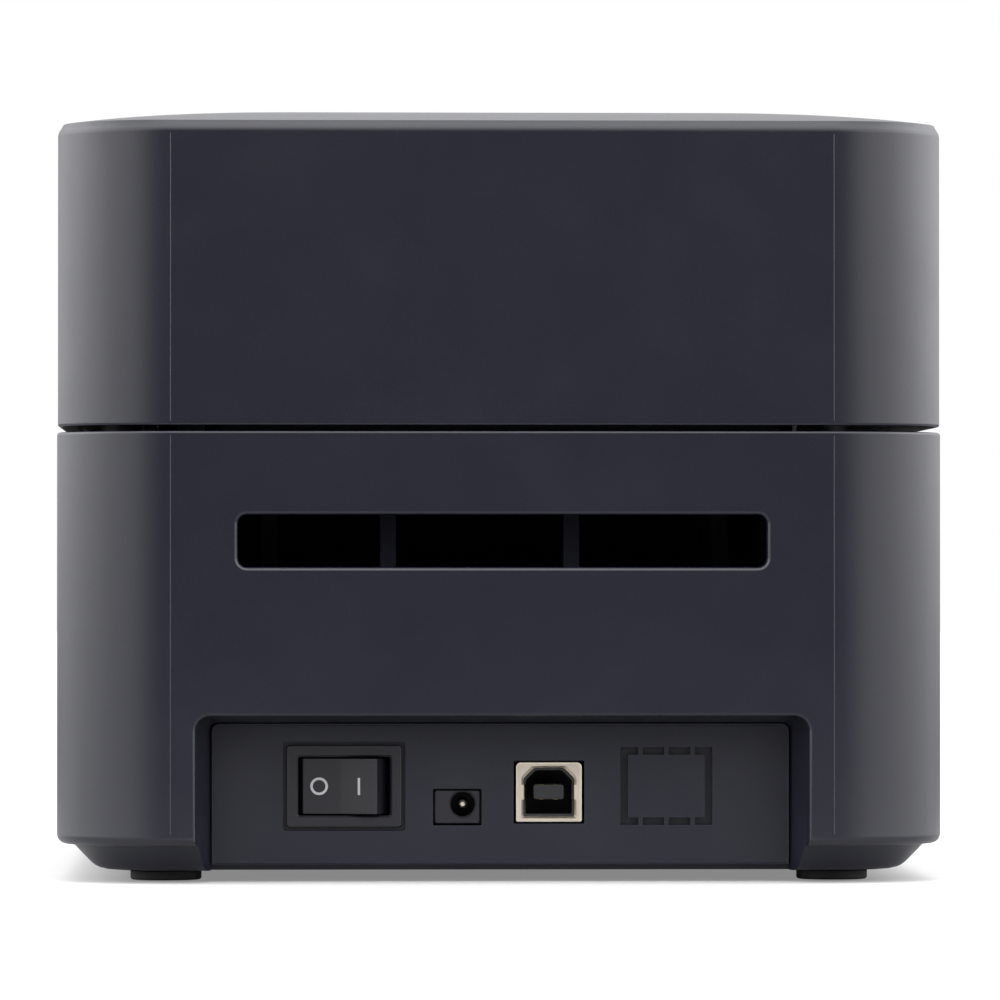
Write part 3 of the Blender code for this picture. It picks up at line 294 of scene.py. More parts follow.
def fit(target, paint, body, slot, *nodes, sharp=30):
    """Shades the finished piece, paints it and mounts it on its body in place of its CAD nodes."""
    target.data.shade_smooth()
    target.data.set_sharp_from_angle(angle=radians(sharp))
    target.data.materials.clear()
    target.data.materials.append(paint)
    flatten = target.modifiers.new("flat_faces", "WEIGHTED_NORMAL")
    flatten.keep_sharp = True
    flatten.weight = 100
    settle(target)
    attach(target, body)
    if nodes:
        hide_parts(*nodes)


def effect(name, takes, gives):
    """A node group for one surface effect, with its inputs and their usual values, and its outputs."""
    group = bpy.data.node_groups.new(name, "ShaderNodeTree")
    for label, usual in takes.items():
        kind = "NodeSocketVector" if isinstance(usual, tuple) else "NodeSocketFloat"
        group.interface.new_socket(name=label, in_out="INPUT", socket_type=kind).default_value = usual
    for label in gives:
        group.interface.new_socket(name=label, in_out="OUTPUT", socket_type="NodeSocketFloat")
    return group, group.nodes.new("NodeGroupInput").outputs, group.nodes.new("NodeGroupOutput").inputs


# fine pits left by the spark-eroded mould, with a few brighter flecks
spark_texture, source, sink = effect("spark_texture", {"Scale": 2200.0}, ("Height", "Fleck"))
place = node(spark_texture, "ShaderNodeTexCoord").outputs["Object"]
pattern = {"Vector": place, "Scale": source["Scale"]}
pits = node(spark_texture, "ShaderNodeTexNoise", pattern, Detail=3.0, Roughness=0.62).outputs["Fac"]
cells = node(spark_texture, "ShaderNodeTexVoronoi", pattern, feature="SMOOTH_F1", Smoothness=0.6)
both = node(spark_texture, "ShaderNodeMath", {0: pits, 1: cells.outputs["Distance"]}, operation="ADD")
flecks = node(spark_texture, "ShaderNodeMapRange", {"Value": pits}, From_Min=0.58, From_Max=0.76)
spark_texture.links.new(both.outputs[0], sink["Height"])
spark_texture.links.new(flecks.outputs["Result"], sink["Fleck"])

# slow changes of tone and gloss from handling, wiping and the flow of the plastic
handling, source, sink = effect("handling", {"Low": 0.0, "High": 1.0}, ("Tone", "Haze"))
place = {"Vector": node(handling, "ShaderNodeTexCoord").outputs["Object"]}
broad = node(handling, "ShaderNodeTexNoise", place, Scale=22.0, Detail=4.0, Roughness=0.55, Distortion=0.6)
close = node(handling, "ShaderNodeTexNoise", place, Scale=95.0, Detail=2.0)
ends = {"Value": broad.outputs["Fac"], "To Min": source["Low"], "To Max": source["High"]}
spread = node(handling, "ShaderNodeMapRange", ends, From_Min=0.3, From_Max=0.7)
haze = node(handling, "ShaderNodeMath", {0: broad.outputs["Fac"], 1: close.outputs["Fac"]},
            operation="MULTIPLY")
handling.links.new(spread.outputs["Result"], sink["Tone"])
handling.links.new(haze.outputs[0], sink["Haze"])

# painted highlight along edges and corners, as a mask: 1 on a sharp edge, 0 on a face
painted_edge_highlight, source, sink = effect("painted_edge_highlight", {"Radius": 0.0005}, ("Mask",))
rounded = node(painted_edge_highlight, "ShaderNodeBevel", {"Radius": source["Radius"]}, samples=4)
true_face = node(painted_edge_highlight, "ShaderNodeNewGeometry")
match = node(painted_edge_highlight, "ShaderNodeVectorMath", {0: rounded.outputs["Normal"], 1: true_face.outputs["Normal"]},
             operation="DOT_PRODUCT")
agreement = {"Value": match.outputs["Value"]}
edge_highlight_mask = node(painted_edge_highlight, "ShaderNodeMapRange", agreement, From_Min=0.995, From_Max=0.86)
painted_edge_highlight.links.new(edge_highlight_mask.outputs["Result"], sink["Mask"])


def placed(tree, group, **values):
    made = tree.nodes.new("ShaderNodeGroup")
    made.node_tree = group
    for label, value in values.items():
        made.inputs[label].default_value = value
    return made


def tinted(tree, colour, other, mask, shader_socket, mode="MIX"):
    """Mixes one colour towards another by a mask, into a shader socket or onward."""
    mix = node(tree, "ShaderNodeMix", data_type="RGBA", blend_type=mode)
    for socket, value in ((mix.inputs[6], colour), (mix.inputs[7], other)):
        if isinstance(value, tuple):
            socket.default_value = (*value, 1.0)
        else:
            tree.links.new(value, socket)
    tree.links.new(mask, mix.inputs[0])
    if shader_socket:
        tree.links.new(mix.outputs[2], shader_socket)
    return mix.outputs[2]


def ranged(tree, value, low, high, to_low, to_high, socket=None):
    made = node(tree, "ShaderNodeMapRange", {"Value": value}, From_Min=low, From_Max=high, To_Min=to_low,
                To_Max=to_high)
    if socket:
        tree.links.new(made.outputs["Result"], socket)
    return made.outputs["Result"]


def bumped(tree, height, depth, shader, strength=1.0):
    bump = node(tree, "ShaderNodeBump", {"Height": height}, Strength=strength, Distance=depth)
    tree.links.new(bump.outputs["Normal"], shader.inputs["Normal"])


def new_material(name, metallic=0.0):
    made = bpy.data.materials.new(name)
    made.use_nodes = True
    shader = made.node_tree.nodes["Principled BSDF"]
    shader.inputs["Metallic"].default_value = metallic
    return made, made.node_tree, shader


def moulded(name, colour, fleck, gloss, scale=2200.0, depth=0.00003, edge_highlight_radius=0.0004, specular=0.5):
    """Textured plastic: a base colour, a lighter fleck, a painted highlight on the edges, and roughness
    between two values.
    """
    made, tree, shader = new_material(name)
    shader.inputs["Specular IOR Level"].default_value = specular
    texture = placed(tree, spark_texture, Scale=scale)
    touch = placed(tree, handling)
    edges = placed(tree, painted_edge_highlight, Radius=edge_highlight_radius)
    speckled = tinted(tree, colour, fleck, ranged(tree, texture.outputs["Fleck"], 0, 1, 0, 0.75), None)
    # painted highlight: the edges are lightened towards a brighter fleck colour
    wear_and_sheen = tinted(tree, speckled, tuple(c * 1.25 for c in fleck),
                  ranged(tree, edges.outputs["Mask"], 0, 1, 0, 0.35), None)
    tone = ranged(tree, touch.outputs["Tone"], 0, 1, 0.0, 0.16)
    tinted(tree, wear_and_sheen, tuple(c * 0.8 for c in colour), tone, shader.inputs["Base Color"])
    ranged(tree, touch.outputs["Haze"], 0.1, 0.45, gloss[0], gloss[1], shader.inputs["Roughness"])
    bumped(tree, texture.outputs["Height"], depth, shader)
    return made


charcoal_fleck = (0.015, 0.0165, 0.028)
charcoal = moulded("charcoal_abs", (0.0028, 0.0032, 0.0098), charcoal_fleck, (0.315, 0.35), 4200.0, 0.000006)
# a lighter copy of the charcoal ABS for the recessed socket panel and the tray underneath: its extra
# lightness is painted fill light from the floor
charcoal_with_painted_fill = moulded("charcoal_with_painted_fill", (0.0050, 0.0055, 0.0130), charcoal_fleck, (0.36, 0.44), 4200.0,
                        0.000006, specular=0.42)

bm = bmesh.new()
rings = [plan_ring(skin + inset, case_foot + rise) for inset, rise in roll(1.7)]
rings += [plan_ring(skin + inset, case_top - rise) for inset, rise in reversed(roll(0.5, 4))]
add_rings(bm, rings)
lower_case = store("lower_case_shell", bm)
bm = bmesh.new()
add_rings(bm, [plan_ring(wall, z) for z in (case_foot - 5, case_top + 5)])
shape(lower_case, bm)

# the recess: half width and top at the rim, and at the panel
panel_low, panel_high = span("rear_panel")
panel_face = panel_high.y
recess_rim = (55.4, 30.1, 2.6)
recess_back = (panel_high.x + gap, panel_high.z + gap, 1.3)
recess_floor = panel_face - gap


def recess_ring(half, top, corner, y, low):
    """A flat-bottomed opening with two round corners above, at depth y."""
    outline = [(half, low), *arc((half - corner, top - corner), corner, 0, pi / 2, 8)]
    outline += [*arc((corner - half, top - corner), corner, pi / 2, pi, 8), (-half, low)]
    return [(x, y, z) for x, z in outline]


def add_recess(bm, grow, low, lip):
    """The drafted recess, with a rounded lip where it meets the rear face."""
    def ring(sizes, more, y):
        return recess_ring(*(size + more for size in sizes), y, low)

    if lip:
        rings = [ring(recess_rim, lip, case_rear + 1)]
        rings += [ring(recess_rim, inset, case_rear - skin - rise) for inset, rise in roll(lip)[1:]]
    else:
        rings = [ring(recess_rim, grow, case_rear - 0.8)]
    rings += [ring(recess_back, grow, y) for y in (recess_floor, recess_floor - 3)]
    add_rings(bm, rings)


tray_low, tray_high = span("bottom_tray")
hinge_y, hinge_z = middle_of("hinge_pin_left")[1:]
screw_x, screw_y = middle_of("base_screw_rear_left")[:2]
boss_radius, boss_foot, boss_top = 4, 4.7, 30
lug_radius, bore_radius = 3.9, 1.8
exit_half, exit_deep = 46, 4.2
bm = bmesh.new()
add_recess(bm, wall - gap, tray_high.z + 0.06, 0)
for side in (1, -1):
    for near, far in ((51.0, 53.6), (59.4, 62.0)):
        low_x, high_x = ordered(side, near, far)
        lug = [(case_rear - wall + 0.5, hinge_z - 7), (case_rear - wall + 0.5, hinge_z + 4)]
        lug += arc((hinge_y, hinge_z), lug_radius, pi / 2, 3 * pi / 2, 16)
        add_prism(bm, "X", lug, low_x, high_x)
    for end in (1, -1):
        boss = ((boss_radius, boss_foot), (boss_radius, boss_top))
        add_turned(bm, "Z", (side * screw_x, end * screw_y), boss, 28)
        low_x, high_x = ordered(side, screw_x, case_width / 2 - 1)
        add_block(bm, (low_x, end * screw_y - 1.2, tray_high.z + gap), (high_x, end * screw_y + 1.2, 29))
shape(lower_case, bm, "UNION")


def window(x, z, half_w, half_h, corner, steps=6):
    """The outline of an opening with rounded corners, seen from behind."""
    points = []
    for quarter, (sx, sz) in enumerate(((1, 1), (-1, 1), (-1, -1), (1, -1))):
        centre = (x + sx * (half_w - corner), z + sz * (half_h - corner))
        points += arc(centre, corner, quarter * pi / 2, (quarter + 1) * pi / 2, steps)
    return points


def rounded_window(x, z, half_w, half_h, corner, y):
    return [(px, y, pz) for px, pz in window(x, z, half_w, half_h, corner)]


slot_low, slot_high = 57.1, 66.5
slot_middle, slot_tall = (slot_low + slot_high) / 2, (slot_high - slot_low) / 2
slot_half, slot_corner, slot_lip = 47.8, 1.6, 0.9


def slot_ring(grow, y):
    return rounded_window(0, slot_middle, slot_half + grow, slot_tall + grow, slot_corner + grow, y)


bm = bmesh.new()
add_recess(bm, 0, -5, 0.8)
slot_rings = [slot_ring(slot_lip, case_rear + 1)]
slot_rings += [slot_ring(inset, case_rear - skin - rise) for inset, rise in roll(slot_lip)[1:]]
add_rings(bm, [*slot_rings, slot_ring(0, case_rear - 8)])
add_block(bm, (-exit_half, case_front - 5, case_top - exit_deep), (exit_half, case_front + 5, case_top + 5))
for side in (1, -1):
    low_x, high_x = ordered(side, 50, 63)
    add_turned(bm, "X", (hinge_y, hinge_z), ((bore_radius, low_x), (bore_radius, high_x)), 32)
    for end in (1, -1):
        add_turned(bm, "Z", (side * screw_x, end * screw_y), ((bore_radius, 0), (bore_radius, 20)), 24)
shape(lower_case, bm)

# the witness lines of the mould's corner inserts, one pair on the rear and one on the front
witness_x = case_width / 2 - corner_radius


def add_ridge(bm, x, y, out, low, high):
    """A fine ridge up the face at y, which looks out along Y."""
    half, root = 0.07, 0.3
    ridge = [(x - half, y - out * root), (x + half, y - out * root), (x + half, y - out * skin), (x, y),
             (x - half, y - out * skin)]
    add_prism(bm, "Z", ridge if out > 0 else ridge[::-1], low, high)


bm = bmesh.new()
for x in (witness_x, -witness_x):
    for y, out in ((case_rear, 1), (case_front, -1)):
        add_ridge(bm, x, y, out, case_foot + 2.2, case_top - 0.8)
shape(lower_case, bm, "UNION")
fit(lower_case, charcoal, "base", "shell", "lower_case")

# ---- Bottom tray and its fixings ----
# The bottom tray is a dished moulding in the same charcoal plastic. Four screws go up through it
# into the case, and four round rubber feet are stuck underneath.
dish = ((10.4, 0), (9.0, 0.12), (7.9, 0.38), (7.1, 0.75), (6.4, 1.3))
levels = [(inset, tray_low.z + rise) for inset, rise in dish]
levels += [(2.95, case_foot + 0.1), (2.8, case_foot + 0.3), (2.8, tray_high.z)]
board_low, board_high = span("main_board")
tray_cavity_rear = board_high.y + gap
bm = bmesh.new()
add_rings(bm, [plan_ring(inset, z) for inset, z in levels])
bottom_tray = store("bottom_tray_moulding", bm)
bm = bmesh.new()
tray_floor = tray_low.z + wall
rear_cut = case_rear - 4.8 - tray_cavity_rear
levels = ((11, tray_floor), (4.8, case_foot + 2), (4.8, tray_high.z + 3))
add_rings(bm, [plan_ring(inset, z, rear_cut=rear_cut) for inset, z in levels])
add_block(bm, (-panel_high.x, tray_cavity_rear - wall, tray_floor),
          (panel_high.x, case_rear, tray_high.z + 3))
shape(bottom_tray, bm)
bm = bmesh.new()
for x in (-50, 50):
    for y in (36, 82):
        add_turned(bm, "Z", (x, y), ((3, tray_floor - 1), (3, board_low.z - gap)), 28)
for i in range(5):  # stiffening ribs across the floor
    y = -84 + i * 22
    add_block(bm, (-58, y - 0.8, tray_floor - 0.5), (58, y + 0.8, tray_floor + 1.6))
shape(bottom_tray, bm, "UNION")
bm = bmesh.new()
add_recess(bm, 0.06, -5, 0)
for x in (-screw_x, screw_x):
    for y in (-screw_y, screw_y):
        add_turned(bm, "Z", (x, y), ((3.7, 0), (3.7, 3.2), (2.2, 3.2), (2.2, 8)), 32)
for i in range(9):  # vents under the board
    x = -24 + i * 6
    add_block(bm, (x - 1, 8, 0), (x + 1, 34, 12))
shape(bottom_tray, bm)
# the tray gets the lighter charcoal copy, whose extra lightness is painted fill light
fit(bottom_tray, charcoal_with_painted_fill, "base", "shell", "bottom_tray")


def plain_finish(name, colour, wear_and_sheen, gloss, scale, depth, specular=0.5):
    """A grained surface that drifts slowly between two colours and two values of roughness."""
    made, tree, shader = new_material(name)
    grain = placed(tree, spark_texture, Scale=scale)
    touch = placed(tree, handling)
    tinted(tree, colour, wear_and_sheen, touch.outputs["Tone"], shader.inputs["Base Color"])
    ranged(tree, touch.outputs["Haze"], 0.1, 0.45, *gloss, shader.inputs["Roughness"])
    shader.inputs["Specular IOR Level"].default_value = specular
    bumped(tree, grain.outputs["Height"], depth, shader)
    return made, shader


rubber, shader = plain_finish("black_rubber", (0.006, 0.006, 0.0065), (0.018, 0.018, 0.019), (0.62, 0.85),
                              900.0, 0.00005, specular=0.3)
foot_nodes = [f"foot_{end}_{side}" for end in ("rear", "front") for side in ("left", "right")]
bm = bmesh.new()
for foot in foot_nodes:
    low, high = span(foot)
    middle = (low + high) / 2
    radius = (high.x - low.x) / 2
    rim = [(radius - 0.5 * (1 - sin(a)), 0.5 * (1 - cos(a))) for a in (0, 0.4, 0.8, 1.2, pi / 2)]
    add_turned(bm, "Z", middle.xy, ((radius - 1.6, 0.15), (radius - 1.1, 0), *rim, (radius, high.z)), 56)
feet = store("rubber_feet", bm)
fit(feet, rubber, "base", "rubber", *foot_nodes)

# brushed or turned metal: fine parallel lines along one axis, and a mask for dull patches
drawn_metal, source, sink = effect("drawn_metal", {"Stretch": (60.0, 6000.0, 6000.0)}, ("Height", "Dull"))
place = node(drawn_metal, "ShaderNodeTexCoord").outputs["Object"]
stretched = node(drawn_metal, "ShaderNodeVectorMath", {0: place, 1: source["Stretch"]}, operation="MULTIPLY")
lines = node(drawn_metal, "ShaderNodeTexNoise", {"Vector": stretched.outputs["Vector"]}, Scale=1.0,
             Detail=3.0, Roughness=0.6)
patches = node(drawn_metal, "ShaderNodeTexNoise", {"Vector": place}, Scale=110.0, Detail=4.0, Roughness=0.6)
drawn_metal.links.new(lines.outputs["Fac"], sink["Height"])
drawn_metal.links.new(patches.outputs["Fac"], sink["Dull"])


def drawn(name, bright, dull, gloss, stretch=(60.0, 6000.0, 6000.0), depth=0.000006, edge_highlight_radius=0.0003):
    """Metal with drawn or brushed lines, dulled in patches, and with a painted highlight on its edges."""
    made, tree, shader = new_material(name, metallic=1.0)
    finish = placed(tree, drawn_metal, Stretch=stretch)
    edges = placed(tree, painted_edge_highlight, Radius=edge_highlight_radius)
    touch = placed(tree, handling)
    patchy = tinted(tree, bright, dull, ranged(tree, finish.outputs["Dull"], 0.35, 0.7, 0, 1), None)
    smudged = tinted(tree, patchy, tuple(c * 0.75 for c in dull),
                     ranged(tree, touch.outputs["Tone"], 0, 1, 0, 0.4), None)
    # painted highlight: the bright colour laid along the edges
    tinted(tree, smudged, bright, edges.outputs["Mask"], shader.inputs["Base Color"])
    ranged(tree, finish.outputs["Dull"], 0.35, 0.7, gloss[0], gloss[1], shader.inputs["Roughness"])
    bumped(tree, finish.outputs["Height"], depth, shader)
    return made


zinc_steel = drawn("zinc_plated_steel", (0.62, 0.62, 0.60), (0.44, 0.44, 0.43), (0.28, 0.46))
screw_nodes = [f"base_screw_{end}_{side}" for end in ("rear", "front") for side in ("left", "right")]
shank, root, pitch, thread_turns = 1.45, 1.12, 0.7, 16
cross_reach, cross_half, cross_deep = 1.6, 0.32, 2.65
bm = bmesh.new()
cross = bmesh.new()
for screw in screw_nodes:
    low, high = span(screw)
    x, y = ((low + high) / 2).xy
    head = (high.x - low.x) / 2
    pan = ((head - 0.9, low.z), (head - 0.35, low.z + 0.12), (head, low.z + 0.45), (head, 2.9), (shank, 2.9))
    thread = []
    for i in range(thread_turns):  # a V groove for each turn
        z = 5.0 + i * pitch
        thread += [(shank, z), (root, z + pitch / 2)]
    add_turned(bm, "Z", (x, y), (*pan, *thread, (shank, 16.3), (0.9, high.z)), 32)
    add_block(cross, (x - cross_reach, y - cross_half, 0), (x + cross_reach, y + cross_half, cross_deep))
    add_block(cross, (x - cross_half, y - cross_reach, 0), (x + cross_half, y + cross_reach, cross_deep))
screws = store("case_screws", bm)
shape(screws, cross)
fit(screws, zinc_steel, "base", "steel", *screw_nodes)

# ---- Rear panel ----
# A flat 2 mm plate in the same plastic closes the recess and has the cut-outs for the sockets.
# The plate over the unused place is held by narrow bridges, to be snapped out for another socket.
housing_low, housing_high = span("switch_housing")
usb_low, usb_high = span("usb_shell")
switch = middle_of("switch_housing")[::2]
usb = middle_of("usb_shell")[::2]
jack_hole = middle_of("dc_jack_pin")[::2]
jack = (jack_hole[0] + 1.0, jack_hole[1] - 0.5)


def add_window(bm, centre, size, low, high, corner=0.25):
    """A block along Y with slightly rounded corners, for openings in the panel."""
    (x, z), (w, h) = centre, size
    add_prism(bm, "Y", window(x, z, w / 2, h / 2, corner, 4), low, high)


def panel_ring(inset, y):
    low = panel_low.z + max(0.0, inset)
    return recess_ring(panel_high.x - inset, panel_high.z - inset, 1.3 - inset / 2, y, low)


bm = bmesh.new()
snug = 0.24  # the plate nearly touches the case, and a low bead runs round its edge
bead = ((0, 0.2), (0.1, 0.3), (0.32, 0.3), (0.42, 0.2), (0.52, 0))
rings = [panel_ring(-snug, panel_low.y)]
rings += [panel_ring(inset - snug, panel_face + rise) for inset, rise in bead]
add_rings(bm, rings)
panel = store("socket_panel", bm)
bm = bmesh.new()
back, front = panel_low.y - 3, panel_face + 3
switch_bed, switch_hole, jack_window, usb_window = (22.3, 16.3), (19.4, 13.4), (8.9, 6.7), (12.9, 11.5)
add_window(bm, switch, switch_bed, panel_face - 1, front, 0.5)
add_window(bm, switch, switch_hole, back, panel_face + 2)
add_window(bm, jack, jack_window, back, front)
add_window(bm, usb, usb_window, back, front)
blank = (-30.2, 17.2)
groove_floor = panel_face - 1.7
blank_outer, blank_plate, bridges = (16.8, 14.2), (14.0, 11.4), (-4.8, 0.0, 4.7)
side_w = (blank_outer[0] - blank_plate[0]) / 2
height = (blank_outer[1] - blank_plate[1]) / 2
for side in (1, -1):
    middle = blank[0] + side * (blank_plate[0] + side_w) / 2
    add_window(bm, (middle, blank[1]), (side_w, blank_outer[1]), groove_floor, front, 0.2)
edges = [0.1 - blank_outer[0] / 2]
bridge_half = 0.4
for bridge in bridges:
    edges += [bridge - bridge_half, bridge + bridge_half]
edges.append(blank_outer[0] / 2 - 0.1)
for side in (1, -1):
    level = blank[1] + side * (blank_plate[1] + height) / 2
    for start, end in zip(edges[::2], edges[1::2]):
        add_window(bm, (blank[0] + (start + end) / 2, level), (end - start, height), groove_floor, front, 0.1)
shape(panel, bm)
# the panel gets the lighter charcoal copy, whose extra lightness is painted fill light
fit(panel, charcoal_with_painted_fill, "base", "shell", "rear_panel")

# ---- Power switch ----
# A snap-in rocker switch in smooth black nylon. The rocker's face is two flats meeting in a valley,
# with the usual line and ring for on and off printed in pale grey.
switch_black = moulded("switch_nylon", (0.0065, 0.0065, 0.0100), (0.015, 0.015, 0.021), (0.46, 0.58),
                       3000.0, 0.00001, specular=0.38)
ledge = housing_high.y - 1.2
bm = bmesh.new()
bezel_w, bezel_h = (housing_high.x - housing_low.x) / 2, (housing_high.z - housing_low.z) / 2
bezel = ((0, ledge), (0, housing_high.y - 0.4), (0.12, housing_high.y - 0.12), (0.4, housing_high.y))
add_rings(bm, [rounded_window(*switch, bezel_w - inset, bezel_h - inset, 0.6, y) for inset, y in bezel])
housing = store("switch_bezel", bm)
bm = bmesh.new()
add_window(bm, switch, (18.8, 12.8), housing_low.y, ledge + 0.6, 0.4)
shape(housing, bm, "UNION")
bm = bmesh.new()
well_w, well_h = 8.4, 5.35
mouth = ((1.35, 0.5, housing_high.y + 1), (0.35, 0.5, housing_high.y + 0.01),
         (0, 0.4, housing_high.y - 0.35), (0, 0.4, ledge - 12))
add_rings(bm, [rounded_window(*switch, well_w + grow, well_h + grow, corner, y) for grow, corner, y in mouth])
shape(housing, bm)
fit(housing, switch_black, "base", "switch_plastic", "switch_housing")

rocker_rest = radians(11)
pivot_y = housing_high.y - 3.6
outline = [(6.7, 4.19), (0.5, 3.42), (0, 3.4), (-0.5, 3.42), (-6.7, 4.19), (-6.88, 4.1), (-7.8, -1),
           (-4.5, -4.5), (4.5, -4.5), (7.8, -1), (6.88, 4.1)]
half_z = well_h - gap


def on_rocker(u, v):
    return (switch[0] + u * cos(rocker_rest) + v * sin(rocker_rest),
            pivot_y + v * cos(rocker_rest) - u * sin(rocker_rest))


bm = bmesh.new()
rings = []
for shrink, z in ((0.2, -half_z), (0.05, -half_z + 0.06), (0, -half_z + 0.2), (0, half_z - 0.2),
                  (0.05, half_z - 0.06), (0.2, half_z)):
    ring = [on_rocker(u * (1 - shrink / 9), v - (shrink if v > 0 else 0)) for u, v in outline]
    rings.append([(x, y, switch[1] + z) for x, y in ring])
add_rings(bm, rings)
rocker = store("switch_rocker", bm)
fit(rocker, switch_black, "rocker", "switch_plastic", "power_rocker", sharp=20)

pale_print, tree, shader = new_material("pale_print")
touch = placed(tree, handling)
tinted(tree, (0.36, 0.36, 0.37), (0.24, 0.24, 0.25), touch.outputs["Tone"], shader.inputs["Base Color"])
shader.inputs["Roughness"].default_value = 0.6
slope = (4.19 - 3.42) / (6.7 - 0.5)  # of the rocker's two flats


def rocker_face(u, rise):
    return on_rocker(u, 3.4 + (abs(u) - 0.26) * slope + rise)


bm = bmesh.new()
bar_u, bar_half, bar_reach = -3.45, 0.22, 1.55
ring_u, ring_inner, ring_outer = 3.9, 1.15, 1.6
sunk, proud = -0.05, 0.02
corners = [rocker_face(bar_u + side * bar_half, rise)
           for side, rise in ((-1, sunk), (1, sunk), (1, proud), (-1, proud))]
add_rings(bm, [[(x, y, switch[1] + z) for x, y in corners] for z in (-bar_reach, bar_reach)])
steps = 40
bands = []
for radius, rise in ((ring_inner, sunk), (ring_outer, sunk), (ring_outer, proud), (ring_inner, proud)):
    band = []
    for i in range(steps):
        a = 2 * pi * i / steps
        x, y = rocker_face(ring_u + radius * cos(a), rise)
        band.append(bm.verts.new((x, y, switch[1] + radius * sin(a))))
    bands.append(band)
for inner, outer_band in zip(bands, bands[1:] + bands[:1]):
    for i in range(steps):
        j = (i + 1) % steps
        bm.faces.new((inner[i], inner[j], outer_band[j], outer_band[i]))
marks = store("switch_marks", bm)
fit(marks, pale_print, "rocker", "switch_plastic")

# ---- Power jack ----
# A black nylon barrel jack with a square nose, and a nickel plated centre pin. The hole's edge is
# chamfered to lead the plug in.
jack_low, jack_high = span("dc_jack_body")
bm = bmesh.new()
nose = ((0, 85), (0, jack_high.y - 0.3), (0.1, jack_high.y - 0.08), (0.3, jack_high.y))
add_rings(bm, [rounded_window(*jack, 4.15 - inset, 3.05 - inset, 0.5, y) for inset, y in nose])
jack_body = store("jack_body", bm)
bm = bmesh.new()
add_block(bm, (jack[0] - 4.5, 75, jack_low.z), (jack[0] + 4.5, panel_low.y - gap, jack[1] + 4.5))
shape(jack_body, bm, "UNION")
bm = bmesh.new()
bore = ((1.05, 77), (1.05, 80), (2.25, 80), (2.25, jack_high.y - 0.35), (2.6, jack_high.y),
        (2.6, jack_high.y + 2))
add_turned(bm, "Y", jack_hole, bore, 56)
shape(jack_body, bm)
fit(jack_body, switch_black, "base", "inner_plastic", "dc_jack_body")

nickel = drawn("bright_nickel", (0.76, 0.69, 0.58), (0.60, 0.54, 0.45), (0.34, 0.5), (2500.0, 120.0, 2500.0))
bm = bmesh.new()
pin_tip = span("dc_jack_pin")[1].y
pin = ((0.75, 77.4), (0.75, pin_tip - 0.9), (0.7, pin_tip - 0.6), (0.55, pin_tip - 0.25), (0.375, pin_tip))
add_turned(bm, "Y", jack_hole, pin, 32)
jack_pin = store("jack_pin", bm)
fit(jack_pin, nickel, "base", "nickel", "dc_jack_pin")

# ---- USB socket ----
# A folded nickel plated steel shell with a spring finger bent in at each side, round a black tongue
# with four gold contacts.


def usb_ring(w, h, chamfer, y, corner=0.3):
    """The socket's outline: square below, with two cut corners above, each corner slightly rounded."""
    x, z = usb
    points = [(x - w, z - h), (x + w, z - h), (x + w, z + h - chamfer), (x + w - chamfer, z + h),
              (x - w + chamfer, z + h), (x - w, z + h - chamfer)]
    ring = []
    for i, here in enumerate(points):
        before, after = points[i - 1], points[(i + 1) % len(points)]
        for t in (0, 0.5, 1):
            from_before = Vector(before) - Vector(here)
            to_after = Vector(after) - Vector(here)
            a = Vector(here) + from_before.normalized() * corner
            b = Vector(here) + to_after.normalized() * corner
            p = a.lerp(Vector(here), t).lerp(Vector(here).lerp(b, t), t)
            ring.append((p.x, y, p.y))
    return ring


half_w, half_h = (usb_high.x - usb_low.x) / 2, (usb_high.z - usb_low.z) / 2
rim = ((0, usb_low.y), (0, usb_high.y - 0.25), (0.08, usb_high.y - 0.07), (0.25, usb_high.y))
bm = bmesh.new()
add_rings(bm, [usb_ring(half_w - inset, half_h - inset, 0.5, y) for inset, y in rim])
usb_shell = store("usb_socket_shell", bm)
bm = bmesh.new()
mouth_w, mouth_h, mouth_cut = 4.65, 4.4, 1.9
mouth = ((0, 75.5), (0, usb_high.y - 0.5), (0.4, usb_high.y + 0.02), (0.4, usb_high.y + 2))
add_rings(bm, [usb_ring(mouth_w + grow, mouth_h + grow, mouth_cut, y) for grow, y in mouth])
shape(usb_shell, bm)
bm = bmesh.new()
finger_half = 1.35
for side in (1, -1):  # the spring fingers, bent in at the sides of the mouth
    bend = ((-6, -0.35), (-1.2, -0.3), (-0.08, -0.02), (-0.08, 0.5), (-6, 0.5))
    outline = [(usb_high.y + back, usb[0] + side * (mouth_w + out)) for back, out in bend]
    add_rings(bm, [[(x, y, usb[1] + z) for y, x in outline] for z in (-finger_half, finger_half)])
shape(usb_shell, bm, "UNION")
fit(usb_shell, nickel, "base", "nickel", "usb_shell", sharp=25)

tongue_black = moulded("tongue_nylon", (0.006, 0.006, 0.008), (0.012, 0.012, 0.015), (0.55, 0.68), 3000.0,
                       0.00001)
tongue_low, tongue_high = span("usb_tongue")
tongue_half = (tongue_high.z - tongue_low.z) / 2
bm = bmesh.new()
tip = ((0, tongue_low.y), (0, tongue_high.y - 0.4), (0.12, tongue_high.y - 0.1), (0.38, tongue_high.y))
add_rings(bm, [rounded_window(*usb, 2.8 - inset, tongue_half - inset, 0.45, y) for inset, y in tip])
tongue = store("usb_socket_tongue", bm)
bm = bmesh.new()  # a black liner round the tongue, inside the shell: painted shade, a dark sheet that darkens the inside of the mouth
shade_liner_front = usb_high.y - 1.0
add_rings(bm, [usb_ring(mouth_w - 0.02, mouth_h - 0.02, mouth_cut, tongue_low.y - 0.2),
               usb_ring(mouth_w - 0.02, mouth_h - 0.02, mouth_cut, shade_liner_front)])
painted_shade_liner = store("usb_painted_shade_liner", bm)
bm = bmesh.new()
